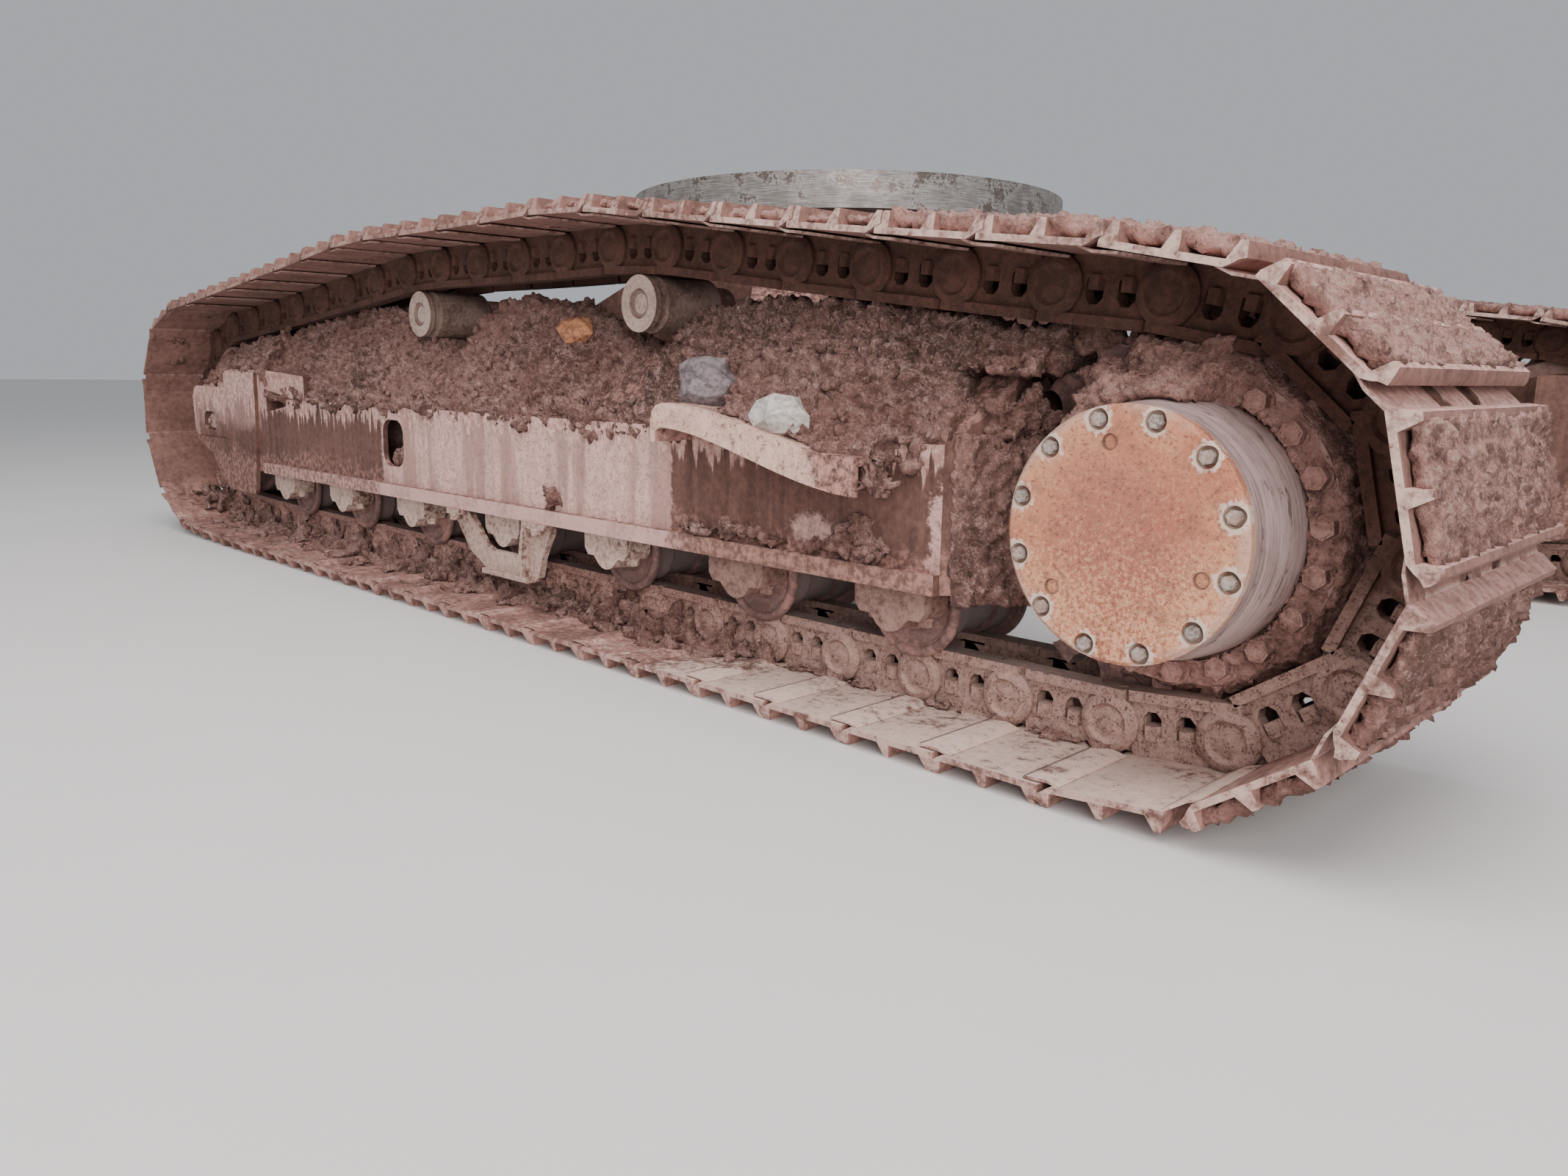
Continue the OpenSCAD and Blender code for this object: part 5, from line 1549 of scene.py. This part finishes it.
def material(name):
    """The material of that name, made on first use."""
    made = bpy.data.materials.get(name)
    if made is None:
        steel, mud = bpy.context.scene.steel_look, bpy.context.scene.mud_look
        made = MAKERS[name](steel, mud)
    return made


MAKERS = {
    "dried_mud": lambda steel, mud: mud_finish(mud),
    # A lighter copy of the mud, for the drives and the rear shoes: partly drier earth, partly painted light
    # against the shade that the chain casts on the drives
    "dry_mud": lambda steel, mud: mud_finish(mud, "dry_mud", 1.45),
    "muddy_frame": frame_finish,
    "rusty_casting": cast_finish,
    "dusty_blocks": block_finish,
    "step_plate": step_finish,
    "gear_drum": drive_finish,
    "orange_cover": cover_finish,
    "worn_wheel": wheel_finish,
    "carrier_wheel": carrier_finish,
    "track_links": chain_finish,
    "track_shoe_plates": shoe_finish,
    "greasy_ring": ring_finish,
    "grey_bolts": bolt_finish,
}

# Which finish each kind of node gets, by the start of its name
NODE_FINISH = (
    ("drive_cover", "orange_cover"), ("final_drive", "gear_drum"), ("carrier_rollers", "carrier_wheel"),
    ("track_rollers", "worn_wheel"), ("idler_yoke", "muddy_frame"), ("idler", "worn_wheel"),
    ("sprocket", "worn_wheel"), ("roller_collars", "dusty_blocks"), ("track_guards", "dusty_blocks"),
    ("carrier_brackets", "rusty_casting"), ("travel_motor", "rusty_casting"),
    ("recoil_unit", "rusty_casting"), ("swivel_joint", "rusty_casting"), ("slew_ring", "greasy_ring"),
    ("track_chain", "track_links"),
    ("track_shoes", "track_shoe_plates"), ("step", "step_plate"), ("", "muddy_frame"))


class UNDERCARRIAGE_OT_surfaces(bpy.types.Operator):
    """Give every part of the frame its finish"""

    bl_idname = "undercarriage.surfaces"
    bl_label = "Surfaces"

    def execute(self, context):
        for name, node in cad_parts.items():
            coat = next(finish for start, finish in NODE_FINISH if name.startswith(start))
            node.data.materials.clear()
            node.data.materials.append(material(coat))
        return {"FINISHED"}


# The floor lies half a millimetre below the shoes' bars, so that no two faces coincide
FLOOR_HALF = 40.0
FLOOR_TOP = -0.0005

SKY_COLOUR = (0.90, 0.94, 1.0, 1.0)
SKY_STRENGTH = 0.50

# Soft round lights: name, place, what they aim at, width, watts and colour
LIGHTS = (
    ("sky", (-1.5, 3.0, 5.5), (-0.4, 0.8, 0.3), 6.0, 360.0, (1.0, 0.98, 0.96)),
    ("front", (-5.5, 5.0, 2.2), (-0.8, 1.0, 0.4), 4.0, 290.0, (1.0, 0.97, 0.94)),
)

# The camera that was fitted to the photograph: its place, its turns, and its focal length and the
# photograph's width in pixels
CAMERA_PLACE = (-2.5762, 2.8623, 0.619)
CAMERA_YAW = math.radians(45.252)
CAMERA_PITCH = math.radians(10.829)
CAMERA_ROLL = math.radians(0.847)
FOCAL_PIXELS = 1547.1
PHOTO_PIXELS = 2134.0
SENSOR_WIDTH = 36.0


class UNDERCARRIAGE_OT_stage(bpy.types.Operator):
    """Set up the floor, the lights and the camera"""

    bl_idname = "undercarriage.stage"
    bl_label = "Stage"

    def execute(self, context):
        scene = context.scene
        floor_mesh = bpy.data.meshes.new("floor")
        ways = ((-1, -1), (1, -1), (1, 1), (-1, 1))
        corners = [(x * FLOOR_HALF, y * FLOOR_HALF, FLOOR_TOP) for x, y in ways]
        floor_mesh.from_pydata(corners, [], [(0, 1, 2, 3)])
        f = Finish("pale_floor")
        grain = f.noise(3.0, 3.0)
        floor_mesh.materials.append(f.coat(grain.tint(*FLOOR_GREY), 0.9, grain, 0.0002))
        floor = bpy.data.objects.new("floor", floor_mesh)
        scene.collection.objects.link(floor)

        world = bpy.data.worlds.new("studio")
        world.use_nodes = True
        backdrop = world.node_tree.nodes["Background"]
        backdrop.inputs["Color"].default_value = SKY_COLOUR
        backdrop.inputs["Strength"].default_value = SKY_STRENGTH
        scene.world = world
        for name, place, aim, width, power, colour in LIGHTS:
            lamp = bpy.data.lights.new(name, "AREA")
            lamp.shape = "DISK"
            lamp.size = width
            lamp.energy = power
            lamp.color = colour
            holder = bpy.data.objects.new(name, lamp)
            holder.location = place
            holder.rotation_euler = (Vector(aim) - Vector(place)).to_track_quat("-Z", "Y").to_euler()
            scene.collection.objects.link(holder)
        scene.camera = photo_camera(scene)
        return {"FINISHED"}


def photo_camera(scene):
    """The camera that was fitted to the photograph."""
    level = math.cos(CAMERA_PITCH)
    ahead = Vector((math.cos(CAMERA_YAW) * level, -math.sin(CAMERA_YAW) * level, -math.sin(CAMERA_PITCH)))
    right = ahead.cross(Vector((0, 0, 1))).normalized()
    above = right.cross(ahead)
    tilted = math.cos(CAMERA_ROLL) * right + math.sin(CAMERA_ROLL) * above
    upright = -math.sin(CAMERA_ROLL) * right + math.cos(CAMERA_ROLL) * above
    turn = Matrix((tilted, upright, -ahead)).transposed().to_4x4()
    data = bpy.data.cameras.new("photo_camera")
    data.sensor_fit = "HORIZONTAL"
    data.sensor_width = SENSOR_WIDTH
    data.lens = SENSOR_WIDTH * FOCAL_PIXELS / PHOTO_PIXELS
    data.clip_start = 0.05
    holder = bpy.data.objects.new("photo_camera", data)
    holder.matrix_world = Matrix.Translation(CAMERA_PLACE) @ turn
    scene.collection.objects.link(holder)
    return holder


OPERATORS = (
    UNDERCARRIAGE_OT_surfaces,
    UNDERCARRIAGE_OT_chain,
    UNDERCARRIAGE_OT_shoes,
    UNDERCARRIAGE_OT_bolts,
    UNDERCARRIAGE_OT_locks,
    UNDERCARRIAGE_OT_mud,
    UNDERCARRIAGE_OT_stones,
    UNDERCARRIAGE_OT_stage,
)


class UNDERCARRIAGE_PT_panel(bpy.types.Panel):
    """Lists the sizes and the steps of the finish"""

    bl_label = "Undercarriage"
    bl_idname = "UNDERCARRIAGE_PT_panel"
    bl_space_type = "VIEW_3D"
    bl_region_type = "UI"
    bl_category = "Undercarriage"

    def draw(self, context):
        for group in (context.scene.track_sizes, context.scene.mud_look, context.scene.steel_look):
            box = self.layout.box()
            for name in group.__annotations__:
                box.prop(group, name)
        for operator in OPERATORS:
            self.layout.operator(operator.bl_idname)


CLASSES = (TrackSizes, MudLook, SteelLook, *OPERATORS, UNDERCARRIAGE_PT_panel)


def register():
    for cls in CLASSES:
        bpy.utils.register_class(cls)
    bpy.types.Scene.track_sizes = PointerProperty(type=TrackSizes)
    bpy.types.Scene.mud_look = PointerProperty(type=MudLook)
    bpy.types.Scene.steel_look = PointerProperty(type=SteelLook)


def unregister():
    del bpy.types.Scene.track_sizes
    del bpy.types.Scene.mud_look
    del bpy.types.Scene.steel_look
    for cls in reversed(CLASSES):
        bpy.utils.unregister_class(cls)


def main():
    register()
    for operator in OPERATORS:
        group, name = operator.bl_idname.split(".")
        getattr(getattr(bpy.ops, group), name)()


if __name__ == "__main__":
    main()
